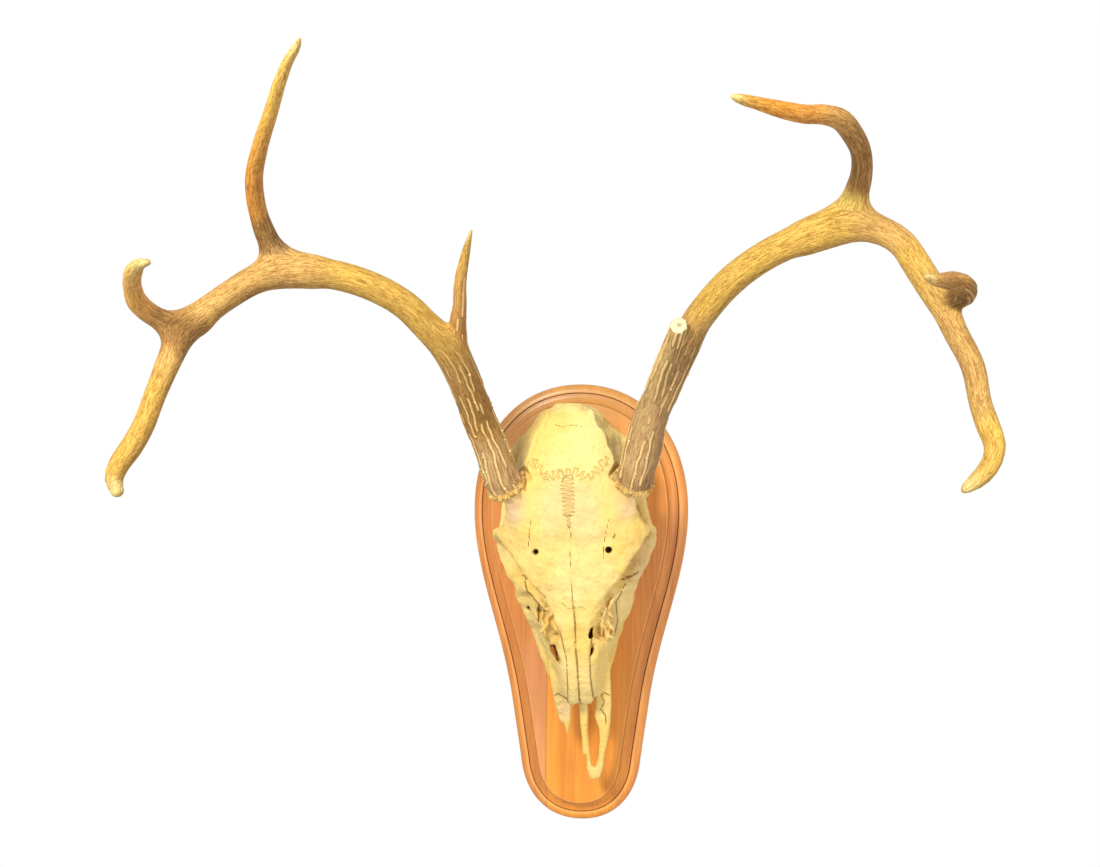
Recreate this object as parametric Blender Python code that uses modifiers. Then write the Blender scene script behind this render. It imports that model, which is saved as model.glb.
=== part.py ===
"""A deer skull with its antlers, mounted on a teardrop plaque of moulded wood.

The origin is the middle of the plaque's back, which lies on the wall. +Z is up, and the front faces -Y.
The skull has a frame of its own: x to its side, h out from the plaque's face, s up along its length.
"""

import math

import bmesh
import bpy
from mathutils import Matrix, Vector
from mathutils.geometry import interpolate_bezier

MM = 0.001

# Plaque
PLAQUE_HEIGHT = 344 * MM
PLAQUE_WIDTH = 170 * MM
PLAQUE_THICKNESS = 20 * MM
BEAD_WIDTH = 6.6 * MM
BEAD_RISE = 5.3 * MM
QUIRK_DEPTH = 1.0 * MM
COVE_WIDTH = 7.6 * MM
COVE_RISE = 6.8 * MM
PANEL_ROUND = 0.8 * MM
OUTLINE_STEPS = 10

# Skull
SKULL_LENGTH = 289 * MM
SKULL_ASIDE = 3.9 * MM
SKULL_RAISED = 47.7 * MM
SKULL_TILT = math.radians(2.0)
SEAT_GAP = 0.3 * MM
ORBIT_DIAMETER = 40 * MM
CHEEK_BAR = 9 * MM
TOOTH_COUNT = 6
TOOTH_WIDTH = 12 * MM

# Antlers
RACK_SPREAD = 551 * MM
BURR_DIAMETER = 30 * MM
BURR_ROLL = 7 * MM
BURR_GAP = 0.3 * MM
BEAM_DIAMETER = 25 * MM

# Shares of the skull's own length, from here on: it was drawn 289 mm long
DRAWN_LENGTH = 289
SKULL_UNIT = SKULL_LENGTH / DRAWN_LENGTH
BURR_PLACE = (46, 84, 47.5)
BURR_HEADING = (0.30, 0.60, 0.74)

for leftover in list(bpy.data.objects):
    bpy.data.objects.remove(leftover)

parts = bpy.data.collections.new("mounted_deer_skull")
cutters = bpy.data.collections.new("cutters")
bpy.context.scene.collection.children.link(parts)
bpy.context.scene.collection.children.link(cutters)


def make_material(name, colour, roughness):
    material = bpy.data.materials.new(name)
    material.use_nodes = True
    shader = material.node_tree.nodes["Principled BSDF"]
    shader.inputs["Base Color"].default_value = (*colour, 1)
    shader.inputs["Roughness"].default_value = roughness
    material.diffuse_color = (*colour, 1)
    return material


def add_object(name, data, collection=parts):
    made = bpy.data.objects.new(name, data)
    collection.objects.link(made)
    if collection is cutters:
        made.hide_render = True
        made.display_type = "WIRE"
    return made


def mesh_from(name, bm):
    mesh = bpy.data.meshes.new(name)
    bm.normal_update()
    bm.to_mesh(mesh)
    bm.free()
    return mesh


def tube_mesh(name, stations, sides=1, steps=3):
    """A smooth round bar through stations of (place, diameter), with closed ends."""
    curve = bpy.data.curves.new(name, "CURVE")
    curve.dimensions = "3D"
    curve.bevel_depth = 1
    curve.bevel_resolution = sides
    curve.use_fill_caps = True
    curve.resolution_u = steps
    spline = curve.splines.new("BEZIER")
    spline.radius_interpolation = "CARDINAL"
    spline.bezier_points.add(len(stations) - 1)
    for point, (place, diameter) in zip(spline.bezier_points, stations):
        point.co = place
        point.radius = diameter / 2
        point.handle_left_type = "AUTO"
        point.handle_right_type = "AUTO"
    holder = add_object(name, curve)
    bpy.context.view_layer.update()
    mesh = bpy.data.meshes.new_from_object(holder.evaluated_get(bpy.context.evaluated_depsgraph_get()))
    bpy.data.objects.remove(holder)
    bm = bmesh.new()
    bm.from_mesh(mesh)
    bmesh.ops.remove_doubles(bm, verts=bm.verts, dist=0.00001)
    bmesh.ops.recalc_face_normals(bm, faces=bm.faces)
    bm.to_mesh(mesh)
    bm.free()
    return mesh


def cut_or_join(target, tool, operation):
    modifier = target.modifiers.new(tool.name, "BOOLEAN")
    modifier.operation = operation
    modifier.solver = "EXACT"
    modifier.object = tool


def plaque_outline():
    """The teardrop, from four spans a side: a round head, a hollow flank, a taper and a round foot."""
    half_w = PLAQUE_WIDTH / 2
    half_h = PLAQUE_HEIGHT / 2
    # Each span: start, its handle, the end's handle, end, in shares of half the width and half the height
    spans = (
        ((0, 1), (0.59, 1), (1, 0.77), (1, 0.42)),
        ((1, 0.42), (1, 0.13), (0.73, -0.13), (0.635, -0.465)),
        ((0.635, -0.465), (0.605, -0.565), (0.575, -0.655), (0.548, -0.756)),
        ((0.548, -0.756), (0.505, -0.885), (0.33, -1), (0, -1)),
    )
    right = []
    for span in spans:
        knots = [Vector((x * half_w, 0, z * half_h)) for x, z in span]
        right += interpolate_bezier(*knots, OUTLINE_STEPS)[:-1]
    left = [Vector((-p.x, 0, p.z)) for p in reversed(right[1:])]
    return right + [Vector((0, 0, -half_h))] + left


def moulding_profile():
    """(inset, rise) of each step from the side up to the panel: bead, quirk, cove and panel edge."""
    side = PLAQUE_THICKNESS - BEAD_RISE - COVE_RISE - PANEL_ROUND
    steps = []
    for degrees in (0, 30, 60, 90):
        turn = math.radians(degrees)
        steps.append((BEAD_WIDTH * (1 - math.cos(turn)), side + BEAD_RISE * math.sin(turn)))
    quirk = BEAD_WIDTH + QUIRK_DEPTH / 2
    steps.append((quirk, side + BEAD_RISE - QUIRK_DEPTH))
    cove = quirk + QUIRK_DEPTH / 2
    for degrees in (0, 30, 60, 90):
        turn = math.radians(degrees)
        rise = side + BEAD_RISE + COVE_RISE * (1 - math.cos(turn))
        steps.append((cove + COVE_WIDTH * math.sin(turn), rise))
    steps.append((cove + COVE_WIDTH + PANEL_ROUND, PLAQUE_THICKNESS))
    return side, steps


def make_plaque():
    bm = bmesh.new()
    back = bm.faces.new([bm.verts.new(place) for place in plaque_outline()])
    bm.normal_update()
    if back.normal.y > 0:
        bmesh.ops.reverse_faces(bm, faces=[back])
    side, steps = moulding_profile()
    grown = bmesh.ops.extrude_face_region(bm, geom=[back], use_keep_orig=True)["geom"]
    front = next(item for item in grown if isinstance(item, bmesh.types.BMFace))
    bmesh.ops.translate(bm, verts=front.verts[:], vec=(0, -side, 0))
    reached = (0, side)
    for inset, rise in steps[1:]:
        bmesh.ops.inset_region(
            bm, faces=[front], thickness=inset - reached[0], depth=rise - reached[1], use_even_offset=True
        )
        reached = (inset, rise)
    bmesh.ops.recalc_face_normals(bm, faces=bm.faces)
    plaque = add_object("plaque", mesh_from("plaque", bm))
    plaque.data.materials.append(make_material("lacquered_wood", (0.48, 0.19, 0.06), 0.35))
    plaque.data.shade_smooth()
    plaque.data.set_sharp_from_angle(angle=math.radians(40))


def skull_matrix():
    seat = Matrix.Translation((SKULL_ASIDE, -PLAQUE_THICKNESS, SKULL_RAISED))
    return seat @ Matrix.Rotation(-SKULL_TILT, 4, "Y")


def in_skull(x, h, s):
    """A landmark of the skull as drawn, in the skull's own axes at its real size."""
    return Vector((x, -h, s)) * SKULL_UNIT


def add_lump(bm, place, radii):
    """A rounded mass of bone: a ball stretched to three radii."""
    stretch = Matrix.Diagonal((radii[0], radii[1], radii[2], 1)) * SKULL_UNIT
    stretch[3][3] = 1
    bmesh.ops.create_uvsphere(
        bm, u_segments=16, v_segments=10, radius=1, matrix=Matrix.Translation(in_skull(*place)) @ stretch
    )


def add_bar(bm, rows):
    """A bar of bone through rows of (x, h, s, thickness)."""
    mesh = tube_mesh("bar", [(in_skull(x, h, s), thick * SKULL_UNIT) for x, h, s, thick in rows], sides=2)
    bm.from_mesh(mesh)
    bpy.data.meshes.remove(mesh)


def burr_frame(side):
    """The burr's place and heading in the skull's own axes; side is -1 or 1."""
    x, h, s = BURR_PLACE
    place = in_skull(side * x, h, s)
    heading = Vector((side * BURR_HEADING[0], -BURR_HEADING[1], BURR_HEADING[2])).normalized()
    return place, heading


# Sections of the skull: s, then the crown's height, and (x, h) of its shoulder, flank, waist and keel
SECTIONS = (
    (107, 63, (6, 62), (9, 56), (8, 48), (4, 42)),
    (104, 68, (10, 66), (18, 56), (15, 42), (8, 32)),
    (97, 74, (15, 72), (28, 56), (25, 38), (13, 24)),
    (86, 80, (19, 77), (35, 57), (33, 38), (16, 18)),
    (73, 85, (23, 82), (40, 60), (37, 40), (19, 14)),
    (60, 88, (27, 85), (41, 63), (37, 40), (20, 13)),
    (46, 90, (30, 87), (41, 66), (34, 42), (20, 14)),
    (30, 91, (38, 87), (47, 72), (31, 46), (20, 18)),
    (14, 91, (38, 86), (56, 71), (27, 52), (18, 24)),
    (2, 89, (35, 85), (51, 71), (24, 52), (16, 28)),
    (-12, 88, (31, 84), (43, 71), (24, 52), (17, 28)),
    (-26, 84, (27, 80), (36, 64), (34, 44), (24, 22)),
    (-42, 79, (19, 76), (34, 54), (41, 34), (33, 12)),
    (-62, 75, (13, 73), (27, 54), (35, 34), (31, 10)),
    (-80, 70, (12, 68), (21, 52), (29, 32), (27, 10)),
    (-98, 63, (11, 61), (17, 48), (24, 32), (21, 12)),
    (-112, 56, (10, 54), (15, 45), (21, 33), (17, 18)),
    (-119, 51, (9, 49), (12, 42), (17, 34), (12, 25)),
)


def rounded_ring(corners, per_span=3):
    """A closed curve that passes smoothly through its corners."""
    ring = []
    count = len(corners)
    for i in range(count):
        before, start, end, after = (Vector(corners[(i + k) % count]) for k in (-1, 0, 1, 2))
        knots = (start, start + (end - before) / 6, end - (after - start) / 6, end)
        ring += interpolate_bezier(*knots, per_span + 1)[:-1]
    return ring


def add_loft(bm):
    """The head's main body, a skin over its sections, closed at both ends."""
    rings = []
    for s, crown, *flank in SECTIONS:
        keel = flank[-1][1]
        right = [(0, crown), *flank, (0, keel)]
        left = [(-x, h) for x, h in reversed(flank)]
        corners = [in_skull(x, h, s) for x, h in right + left]
        rings.append([bm.verts.new(place) for place in rounded_ring(corners)])
    for ring, following in zip(rings, rings[1:]):
        for i in range(len(ring)):
            k = (i + 1) % len(ring)
            bm.faces.new((ring[i], ring[k], following[k], following[i]))
    bm.faces.new(rings[0])
    bm.faces.new(reversed(rings[-1]))


def skull_bone():
    """Everything that the skull has twice or along its middle, before its hollows are cut."""
    bm = bmesh.new()
    add_loft(bm)
    cheek = CHEEK_BAR / SKULL_UNIT
    for side in (-1, 1):
        paired_lumps = (
            ((12, 24, 96), (10, 12, 10)),    # condyle
            ((26, 17, 66), (9, 12, 13)),     # bulla
        )
        for (x, h, s), radii in paired_lumps:
            add_lump(bm, (side * x, h, s), radii)
        paired_bars = (
            # cheekbone and arch
            ((34, 28, -58, 14), (44, 36, -38, 14), (51, 42, -23, 12), (55, 44, -4, cheek),
             (54, 43, 16, cheek), (51, 42, 34, cheek), (44, 42, 50, 11), (32, 42, 62, 16)),
            # bar behind the eye
            ((52, 72, 14, 11), (56, 62, 13, 8), (56, 52, 10, 8), (55, 44, 4, cheek)),
            # rim before the eye
            ((31, 76, -24, 10), (42, 63, -30, 9), (50, 48, -25, 11)),
            # brow edge
            ((56, 71, 14, 8), (50, 75, 2, 8), (41, 78, -12, 8), (33, 78, -25, 8)),
            # process behind the ear
            ((24, 20, 78, 14), (26, 11, 86, 10), (26, 4, 90, 6)),
            # gum
            ((31, 14, -28, 13), (31, 15, -60, 15), (25, 15, -95, 13), (18, 20, -116, 10)),
        )
        for rows in paired_bars:
            add_bar(bm, [(side * x, h, s, thick) for x, h, s, thick in rows])
        for tooth in range(TOOTH_COUNT):
            along = tooth / (TOOTH_COUNT - 1)
            width = TOOTH_WIDTH / SKULL_UNIT * (1 - 0.25 * along)
            add_lump(bm, (side * (31 - 7 * along), 6, -32 - 62 * along), (width / 2, 8, width * 0.55))
        place, heading = burr_frame(side)
        mesh = tube_mesh("pedicle", [
            (in_skull(side * 34, 66, 16), BURR_DIAMETER * 1.15),
            (place - heading * BURR_DIAMETER * 0.5, BURR_DIAMETER * 0.92),
            (place + heading * BURR_DIAMETER * 0.2, BURR_DIAMETER * 0.84),
        ], sides=4)
        bm.from_mesh(mesh)
        bpy.data.meshes.remove(mesh)
    # The premaxillae: the whole one on the right, and on the left the stub of the broken one
    add_bar(bm, (
        (18, 38, -104, 15), (22, 37, -122, 9), (20, 33, -142, 8), (15, 25, -164, 8), (9, 18, -178, 9),
    ))
    add_bar(bm, ((-17, 38, -104, 15), (-20, 37, -120, 10), (-15, 34, -136, 7), (-8, 31, -147, 3)))
    add_bar(bm, ((2, 26, -104, 12), (1, 22, -135, 7), (1, 19, -160, 6), (4, 16, -178, 8)))
    bmesh.ops.recalc_face_normals(bm, faces=bm.faces)
    return mesh_from("skull", bm)


def hollow(name, place, radii, turn=(0, 0, 0)):
    bm = bmesh.new()
    add_lump(bm, (0, 0, 0), radii)
    cutter = add_object(name, mesh_from(name, bm), cutters)
    x, h, s = place
    turned = Matrix.Rotation(math.radians(turn[2]), 4, "Z") @ Matrix.Rotation(math.radians(turn[0]), 4, "X")
    cutter.matrix_world = skull_matrix() @ Matrix.Translation(in_skull(x, h, s)) @ turned
    return cutter


def make_skull():
    skull = add_object("skull", skull_bone())
    skull.matrix_world = skull_matrix()
    skull.data.materials.append(make_material("bleached_bone", (0.86, 0.74, 0.46), 0.6))
    skin = skull.modifiers.new("one_skin", "REMESH")
    skin.mode = "VOXEL"
    skin.voxel_size = 2.6 * MM
    blend = skull.modifiers.new("blend", "SMOOTH")
    blend.factor = 0.5
    blend.iterations = 5
    fewer = skull.modifiers.new("fewer_faces", "DECIMATE")
    fewer.ratio = 0.074
    orbit = ORBIT_DIAMETER / 2 / SKULL_UNIT
    hollows = [
        hollow("nasal_opening", (0, 36, -126), (12, 13, 22)),
        hollow("throat", (0, 14, -8), (15, 22, 26)),
        hollow("palate", (0, -2, -72), (19, 15, 46)),
    ]
    for side, word in ((-1, "left"), (1, "right")):
        hollows += [
            hollow(f"orbit_{word}", (side * 58, 58, -7), (orbit * 1.5, orbit * 0.83, orbit * 0.9)),
            hollow(f"temple_{word}", (side * 48, 56, 32), (13, 10, 14)),
            hollow(f"vacuity_{word}", (side * 24, 66, -56), (7, 9, 15), (-14, 0, 0)),
            hollow(f"foramen_{word}", (side * 26.5, 88, 0), (3, 7, 3)),
        ]
    for cutter in hollows:
        cut_or_join(skull, cutter, "DIFFERENCE")
    for side, word in ((-1, "left"), (1, "right")):
        cut_or_join(skull, pedicle_face(side, word), "DIFFERENCE")
    bm = bmesh.new()
    reach = SKULL_LENGTH * 2
    bmesh.ops.create_cube(bm, size=reach)
    below = add_object("plaque_face", mesh_from("plaque_face", bm), cutters)
    below.location = (0, reach / 2 - PLAQUE_THICKNESS - SEAT_GAP, 0)
    cut_or_join(skull, below, "DIFFERENCE")
    skull.data.shade_smooth()


def pedicle_face(side, word):
    """The space of an antler's foot, which squares the pedicle off just short of the burr."""
    place, heading = burr_frame(side)
    depth = BURR_DIAMETER
    radius = BURR_DIAMETER * 0.62
    bm = bmesh.new()
    bmesh.ops.create_cone(bm, cap_ends=True, segments=32, radius1=radius, radius2=radius, depth=depth)
    cutter = add_object(f"pedicle_face_{word}", mesh_from("pedicle_face", bm), cutters)
    middle = Matrix.Translation(place + heading * (depth / 2 - BURR_GAP))
    cutter.matrix_world = skull_matrix() @ middle @ heading.to_track_quat("Z", "Y").to_matrix().to_4x4()
    return cutter


# Every tine by hand-chosen stations from the burr's middle: right, out and up in mm, and its thickness
LEFT_BEAM = (
    (-10, 16, 31, 24.2), (-20.5, 44, 69, 23), (-33, 75, 102, 22), (-55, 98, 126, 19.5),
    (-95, 120, 143.5, 19.5), (-131, 132, 144, 20), (-160, 141, 130, 18), (-186, 151, 107, 18),
    (-194, 160, 86, 16), (-208, 172, 41, 14.2), (-220.5, 176, 20, 13.2), (-223.5, 177, 11, 11.5),
    (-221, 178, 3.5, 8),
)
LEFT_TINES = {
    "brow": (
        (-25, 54, 80, 20), (-24, 67, 99, 15), (-18.5, 90, 127, 9.5), (-8, 120, 160.5, 5),
        (-3.6, 129, 170, 2.5),
    ),
    "second": (
        (-116, 128, 146, 19), (-132, 136, 158.5, 17.5), (-137, 152, 178, 12.5), (-134, 172, 197, 11.4),
        (-108.5, 218, 229.5, 8.8), (-86.5, 254, 251, 6), (-76, 267, 259.5, 2.5),
    ),
    "third": ((-182, 148, 112, 17), (-203, 166, 115, 14), (-206.5, 180, 122, 13.1), (-203, 197, 130, 11.4),
              (-192.5, 219, 137, 10), (-176, 239, 139.5, 4)),
}
RIGHT_BEAM = (
    (9.5, 16, 30, 25.5), (25, 38, 69, 22), (48.7, 74, 113, 20), (71, 94, 136.5, 19.5),
    (110, 115, 158.5, 20), (142, 126, 166.5, 20), (166.5, 135, 160, 17.6), (182, 142, 142, 17.4),
    (199.5, 154, 109.5, 16.4), (213, 166, 76.4, 14), (221, 173, 40, 13.8), (224, 176, 28, 12.6),
    (217, 178, 12, 10.8), (206.5, 178, 3.3, 5),
)
RIGHT_TINES = {
    "brow": ((12, 26, 46, 18), (23.5, 56, 79, 14.5), (31, 74, 95, 12), (36.5, 89, 108, 10.8)),
    "second": (
        (123, 120, 161, 19), (144, 131, 177, 18), (149.7, 152, 196, 13.2), (141.8, 178, 213.7, 13),
        (124, 202, 220.2, 11.8), (103, 222, 218.4, 10.2), (83.7, 238, 220.3, 7), (71.5, 249, 221.4, 3),
    ),
    "third": ((198, 152, 114, 16), (207.5, 176, 120, 13.4), (206, 190, 122.5, 12), (190, 215, 123, 8.5),
              (176.5, 232, 120, 3.5)),
}
# The thickness and the spread at which these stations were drawn
DRAWN_BEAM = 25
DRAWN_SPREAD = 551


def tine_stations(rows):
    """Stations at their real size: what lies beyond the two burrs follows the spread of the rack."""
    reach = (RACK_SPREAD - 2 * BURR_PLACE[0] * SKULL_UNIT) / (DRAWN_SPREAD - 2 * BURR_PLACE[0])
    thick = BEAM_DIAMETER / DRAWN_BEAM
    return [(Vector((x, -out, z)) * reach, size * thick) for x, out, z, size in rows]


def make_antler(side, word, beam, tines, material):
    place, heading = burr_frame(side)
    burr = skull_matrix() @ place
    along = skull_matrix().to_3x3() @ heading
    foot = [(along * 0, BEAM_DIAMETER * 1.02), (along * BURR_DIAMETER * 0.3, BEAM_DIAMETER)]
    antler = add_object(f"antler_{word}", tube_mesh("beam", foot + tine_stations(beam), sides=3))
    antler.location = burr
    for name, rows in tines.items():
        tine = add_object(f"{word}_{name}", tube_mesh(name, tine_stations(rows), sides=2), cutters)
        tine.location = burr
        cut_or_join(antler, tine, "UNION")
    reach = (BURR_DIAMETER - BURR_ROLL) / 2
    bpy.ops.mesh.primitive_torus_add(
        major_radius=reach, minor_radius=BURR_ROLL / 2, major_segments=20, minor_segments=8
    )
    ring = bpy.context.object
    ring.name = f"{word}_burr"
    for collection in list(ring.users_collection):
        collection.objects.unlink(ring)
    cutters.objects.link(ring)
    ring.hide_render = True
    ring.display_type = "WIRE"
    ring.location = burr + along * BURR_ROLL / 2
    ring.rotation_euler = along.to_track_quat("Z", "Y").to_euler()
    cut_or_join(antler, ring, "UNION")
    antler.data.materials.append(material)
    antler.data.shade_smooth()


make_plaque()
make_skull()
antler_horn = make_material("antler", (0.42, 0.27, 0.12), 0.5)
make_antler(-1, "left", LEFT_BEAM, LEFT_TINES, antler_horn)
make_antler(1, "right", RIGHT_BEAM, RIGHT_TINES, antler_horn)
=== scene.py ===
"""Looks of a deer skull with its antlers on a teardrop plaque: finish, fine relief, light and camera."""

import math

import bmesh
import bpy
import numpy as np
from mathutils import Matrix, Vector


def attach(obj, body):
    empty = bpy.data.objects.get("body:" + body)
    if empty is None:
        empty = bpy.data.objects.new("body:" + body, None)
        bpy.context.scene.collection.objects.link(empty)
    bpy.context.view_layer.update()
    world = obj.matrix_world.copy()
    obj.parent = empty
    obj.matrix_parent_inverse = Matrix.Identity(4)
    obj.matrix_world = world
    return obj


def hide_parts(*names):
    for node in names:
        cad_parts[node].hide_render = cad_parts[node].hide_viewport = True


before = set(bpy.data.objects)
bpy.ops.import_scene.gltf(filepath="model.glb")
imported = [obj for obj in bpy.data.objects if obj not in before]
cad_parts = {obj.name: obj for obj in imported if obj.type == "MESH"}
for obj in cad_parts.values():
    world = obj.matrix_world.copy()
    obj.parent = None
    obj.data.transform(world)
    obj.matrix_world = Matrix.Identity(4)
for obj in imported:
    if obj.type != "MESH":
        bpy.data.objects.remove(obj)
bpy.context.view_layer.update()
MM = 0.001
scene = bpy.context.scene

# Where it hangs: in front of a pale wall-less room, over a pale floor well below.
# Soft daylight comes from all round, with a stronger soft light from the upper left.
CAMERA_PLACE = (120 * MM, -1170 * MM, 133 * MM)
CAMERA_TURN = 7.07
FOCAL_PIXELS = 1475
PHOTO_WIDTH = 1100
SENSOR = 36
FLOOR_DROP = 1.2
FLOOR_RADIUS = 2.6

camera_data = bpy.data.cameras.new("camera")
camera_data.sensor_width = SENSOR
camera_data.lens = SENSOR * FOCAL_PIXELS / PHOTO_WIDTH
camera = bpy.data.objects.new("camera", camera_data)
camera.location = CAMERA_PLACE
camera.rotation_euler = (math.radians(90), 0, math.radians(CAMERA_TURN))
scene.collection.objects.link(camera)
scene.camera = camera
scene.view_settings.view_transform = "Standard"

world = bpy.data.worlds.new("daylight")
world.use_nodes = True
scene.world = world
sky, join_sky = world.node_tree.nodes, world.node_tree.links.new
way = sky.new("ShaderNodeTexCoord")
part_way = sky.new("ShaderNodeSeparateXYZ")
behind = sky.new("ShaderNodeMapRange")
behind.interpolation_type = "SMOOTHSTEP"
for name, value in (("From Min", 0.55), ("From Max", 0.85), ("To Min", 0.56), ("To Max", 1.0)):
    behind.inputs[name].default_value = value
join_sky(way.outputs["Generated"], part_way.inputs[0])
join_sky(part_way.outputs["Y"], behind.inputs["Value"])
join_sky(behind.outputs["Result"], sky["Background"].inputs["Strength"])
sky["Background"].inputs["Color"].default_value = (1, 1, 1, 1)


def soft_light(name, place, size, power, colour):
    data = bpy.data.lights.new(name, "AREA")
    data.size = size
    data.energy = power
    data.color = colour
    light = bpy.data.objects.new(name, data)
    light.location = place
    light.rotation_euler = (Vector((0, 0, 0.05)) - Vector(place)).to_track_quat("-Z", "Y").to_euler()
    scene.collection.objects.link(light)


soft_light("key", (-0.48, -1.42, 0.85), 0.35, 27.5, (1.0, 0.95, 0.85))
soft_light("room", (1.0, -1.15, 0.15), 0.7, 9, (1.0, 0.93, 0.85))

floor_mesh = bpy.data.meshes.new("floor")
floor_bm = bmesh.new()
bmesh.ops.create_circle(floor_bm, cap_ends=True, segments=64, radius=FLOOR_RADIUS)
floor_bm.to_mesh(floor_mesh)
floor_bm.free()
floor = bpy.data.objects.new("floor", floor_mesh)
floor.location = (0, 0, -FLOOR_DROP)
scene.collection.objects.link(floor)
floor_paint = bpy.data.materials.new("pale_floor")
floor_paint.use_nodes = True
floor_paint.node_tree.nodes["Principled BSDF"].inputs["Base Color"].default_value = (0.82, 0.81, 0.79, 1)
floor_paint.node_tree.nodes["Principled BSDF"].inputs["Roughness"].default_value = 0.9
floor_mesh.materials.append(floor_paint)


# The plaque: two staves of hardwood glued edge to edge, sawn to a teardrop, its edge routed to a bead,
# a quirk and a cove, then lacquered. It lies flat on the wall and carries the skull.
PLAQUE_HEIGHT = 344 * MM
PLAQUE_WIDTH = 170 * MM
PLAQUE_THICKNESS = 20 * MM
STAVE_JOINT = -24.5 * MM
KNOT_PLACE = (23 * MM, -20 * MM, -97 * MM)
# Where the moulding turns, in mm in from the outline
CREST = 5.6
QUIRK = 7.15
STEP = 14.9
LIP = 15.6
OUTLINE_SPANS = (
    ((0, 1), (0.59, 1), (1, 0.77), (1, 0.42)),
    ((1, 0.42), (1, 0.13), (0.73, -0.13), (0.635, -0.465)),
    ((0.635, -0.465), (0.605, -0.565), (0.575, -0.655), (0.548, -0.756)),
    ((0.548, -0.756), (0.505, -0.885), (0.33, -1), (0, -1)),
)


class Wiring:
    """Adds nodes to one node tree and joins them."""

    def __init__(self, tree):
        self.tree = tree

    def node(self, kind, settings=None, output=0, **sockets):
        made = self.tree.nodes.new(kind)
        for key, value in (settings or {}).items():
            setattr(made, key, value)
        for key, value in sockets.items():
            numbered = key[0] == "i" and key[1:].isdigit()
            self.put(value, made.inputs[int(key[1:]) if numbered else key.replace("_", " ")])
        return Flow(self, made.outputs[output])

    def put(self, value, socket):
        if isinstance(value, Flow):
            self.tree.links.new(value.socket, socket)
        elif isinstance(value, tuple) and socket.type == "RGBA":
            socket.default_value = (*value[:3], 1)
        else:
            socket.default_value = value


class Finish(Wiring):
    """One material, and the nodes that colour it."""

    def __init__(self, name):
        self.material = bpy.data.materials.new(name)
        self.material.use_nodes = True
        super().__init__(self.material.node_tree)
        self.shader = self.tree.nodes["Principled BSDF"]

    def feed(self, **sockets):
        for name, value in sockets.items():
            self.put(value, self.shader.inputs[name.replace("_", " ")])

    def mix(self, factor, a, b, blend="MIX"):
        settings = {"data_type": "RGBA", "blend_type": blend}
        return self.node("ShaderNodeMix", settings, 2, i0=factor, i6=a, i7=b)

    def coat(self, colour, *layers):
        """Mixes one tint after another over a colour, each by its own share."""
        for share, tint in layers:
            colour = self.mix(share, colour, tint)
        return colour

    def here(self):
        return self.node("ShaderNodeTexCoord", None, "Object")

    def attribute(self, name, output="Fac"):
        return self.node("ShaderNodeAttribute", {"attribute_name": name}, output)

    def noise(self, place, detail=3.0, rough=0.5):
        return self.node("ShaderNodeTexNoise", Vector=place, Scale=1.0, Detail=detail, Roughness=rough)


class Flow:
    """A socket that can be used in sums: each operator adds its Math node."""

    def __init__(self, wiring, socket):
        self.wiring = wiring
        self.socket = socket

    def beside(self, output):
        """What another output of the same node gives."""
        return Flow(self.wiring, self.socket.node.outputs[output])

    def maths(self, operation, *values):
        numbered = {f"i{n}": value for n, value in enumerate(values)}
        return self.wiring.node("ShaderNodeMath", {"operation": operation}, **numbered)

    def __add__(self, other):
        return self.maths("ADD", self, other)

    __radd__ = __add__

    def __sub__(self, other):
        return self.maths("SUBTRACT", self, other)

    def __rsub__(self, other):
        return self.maths("SUBTRACT", other, self)

    def __mul__(self, other):
        return self.maths("MULTIPLY", self, other)

    __rmul__ = __mul__

    def __truediv__(self, other):
        return self.maths("DIVIDE", self, other)

    def abs(self):
        return self.maths("ABSOLUTE", self)

    def sine(self):
        return self.maths("SINE", self)

    def cosine(self):
        return self.maths("COSINE", self)

    def root(self):
        return self.maths("SQRT", self)

    def between(self, low, high):
        """0 below low, 1 above high, smooth between."""
        settings = {"interpolation_type": "SMOOTHSTEP"}
        return self.wiring.node("ShaderNodeMapRange", settings, i0=self, i1=low, i2=high, i3=0.0, i4=1.0)

    def near(self, value, inner, outer):
        """1 within inner of a value, 0 beyond outer, smooth between."""
        return 1 - (self - value).abs().between(inner, outer)

    def stretched(self, *scale):
        """A place, scaled by one number, or by three for x, y and z."""
        return self.wiring.node("ShaderNodeMapping", Vector=self, Scale=(scale * 3)[:3])

    def split(self):
        first = self.wiring.node("ShaderNodeSeparateXYZ", i0=self)
        return [first.beside(n) for n in range(3)]


def add_piece(name, mesh):
    made = bpy.data.objects.new(name, mesh)
    scene.collection.objects.link(made)
    return made


def read_rows(elements, word):
    """The places or normals of a mesh's corners, as rows of three."""
    rows = np.empty(len(elements) * 3, np.float32)
    elements.foreach_get(word, rows)
    return rows.reshape(-1, 3)


def write_marks(mesh, marks):
    """Gives a mesh named values at its corners: numbers, vectors, or colours of four channels."""
    kinds = {1: ("FLOAT", "value"), 3: ("FLOAT_VECTOR", "vector"), 4: ("FLOAT_COLOR", "color")}
    for name, values in marks.items():
        kind, word = kinds[values.size // len(values)]
        made = mesh.attributes.new(name, kind, "POINT")
        made.data.foreach_set(word, values.astype(np.float32).ravel())


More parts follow.
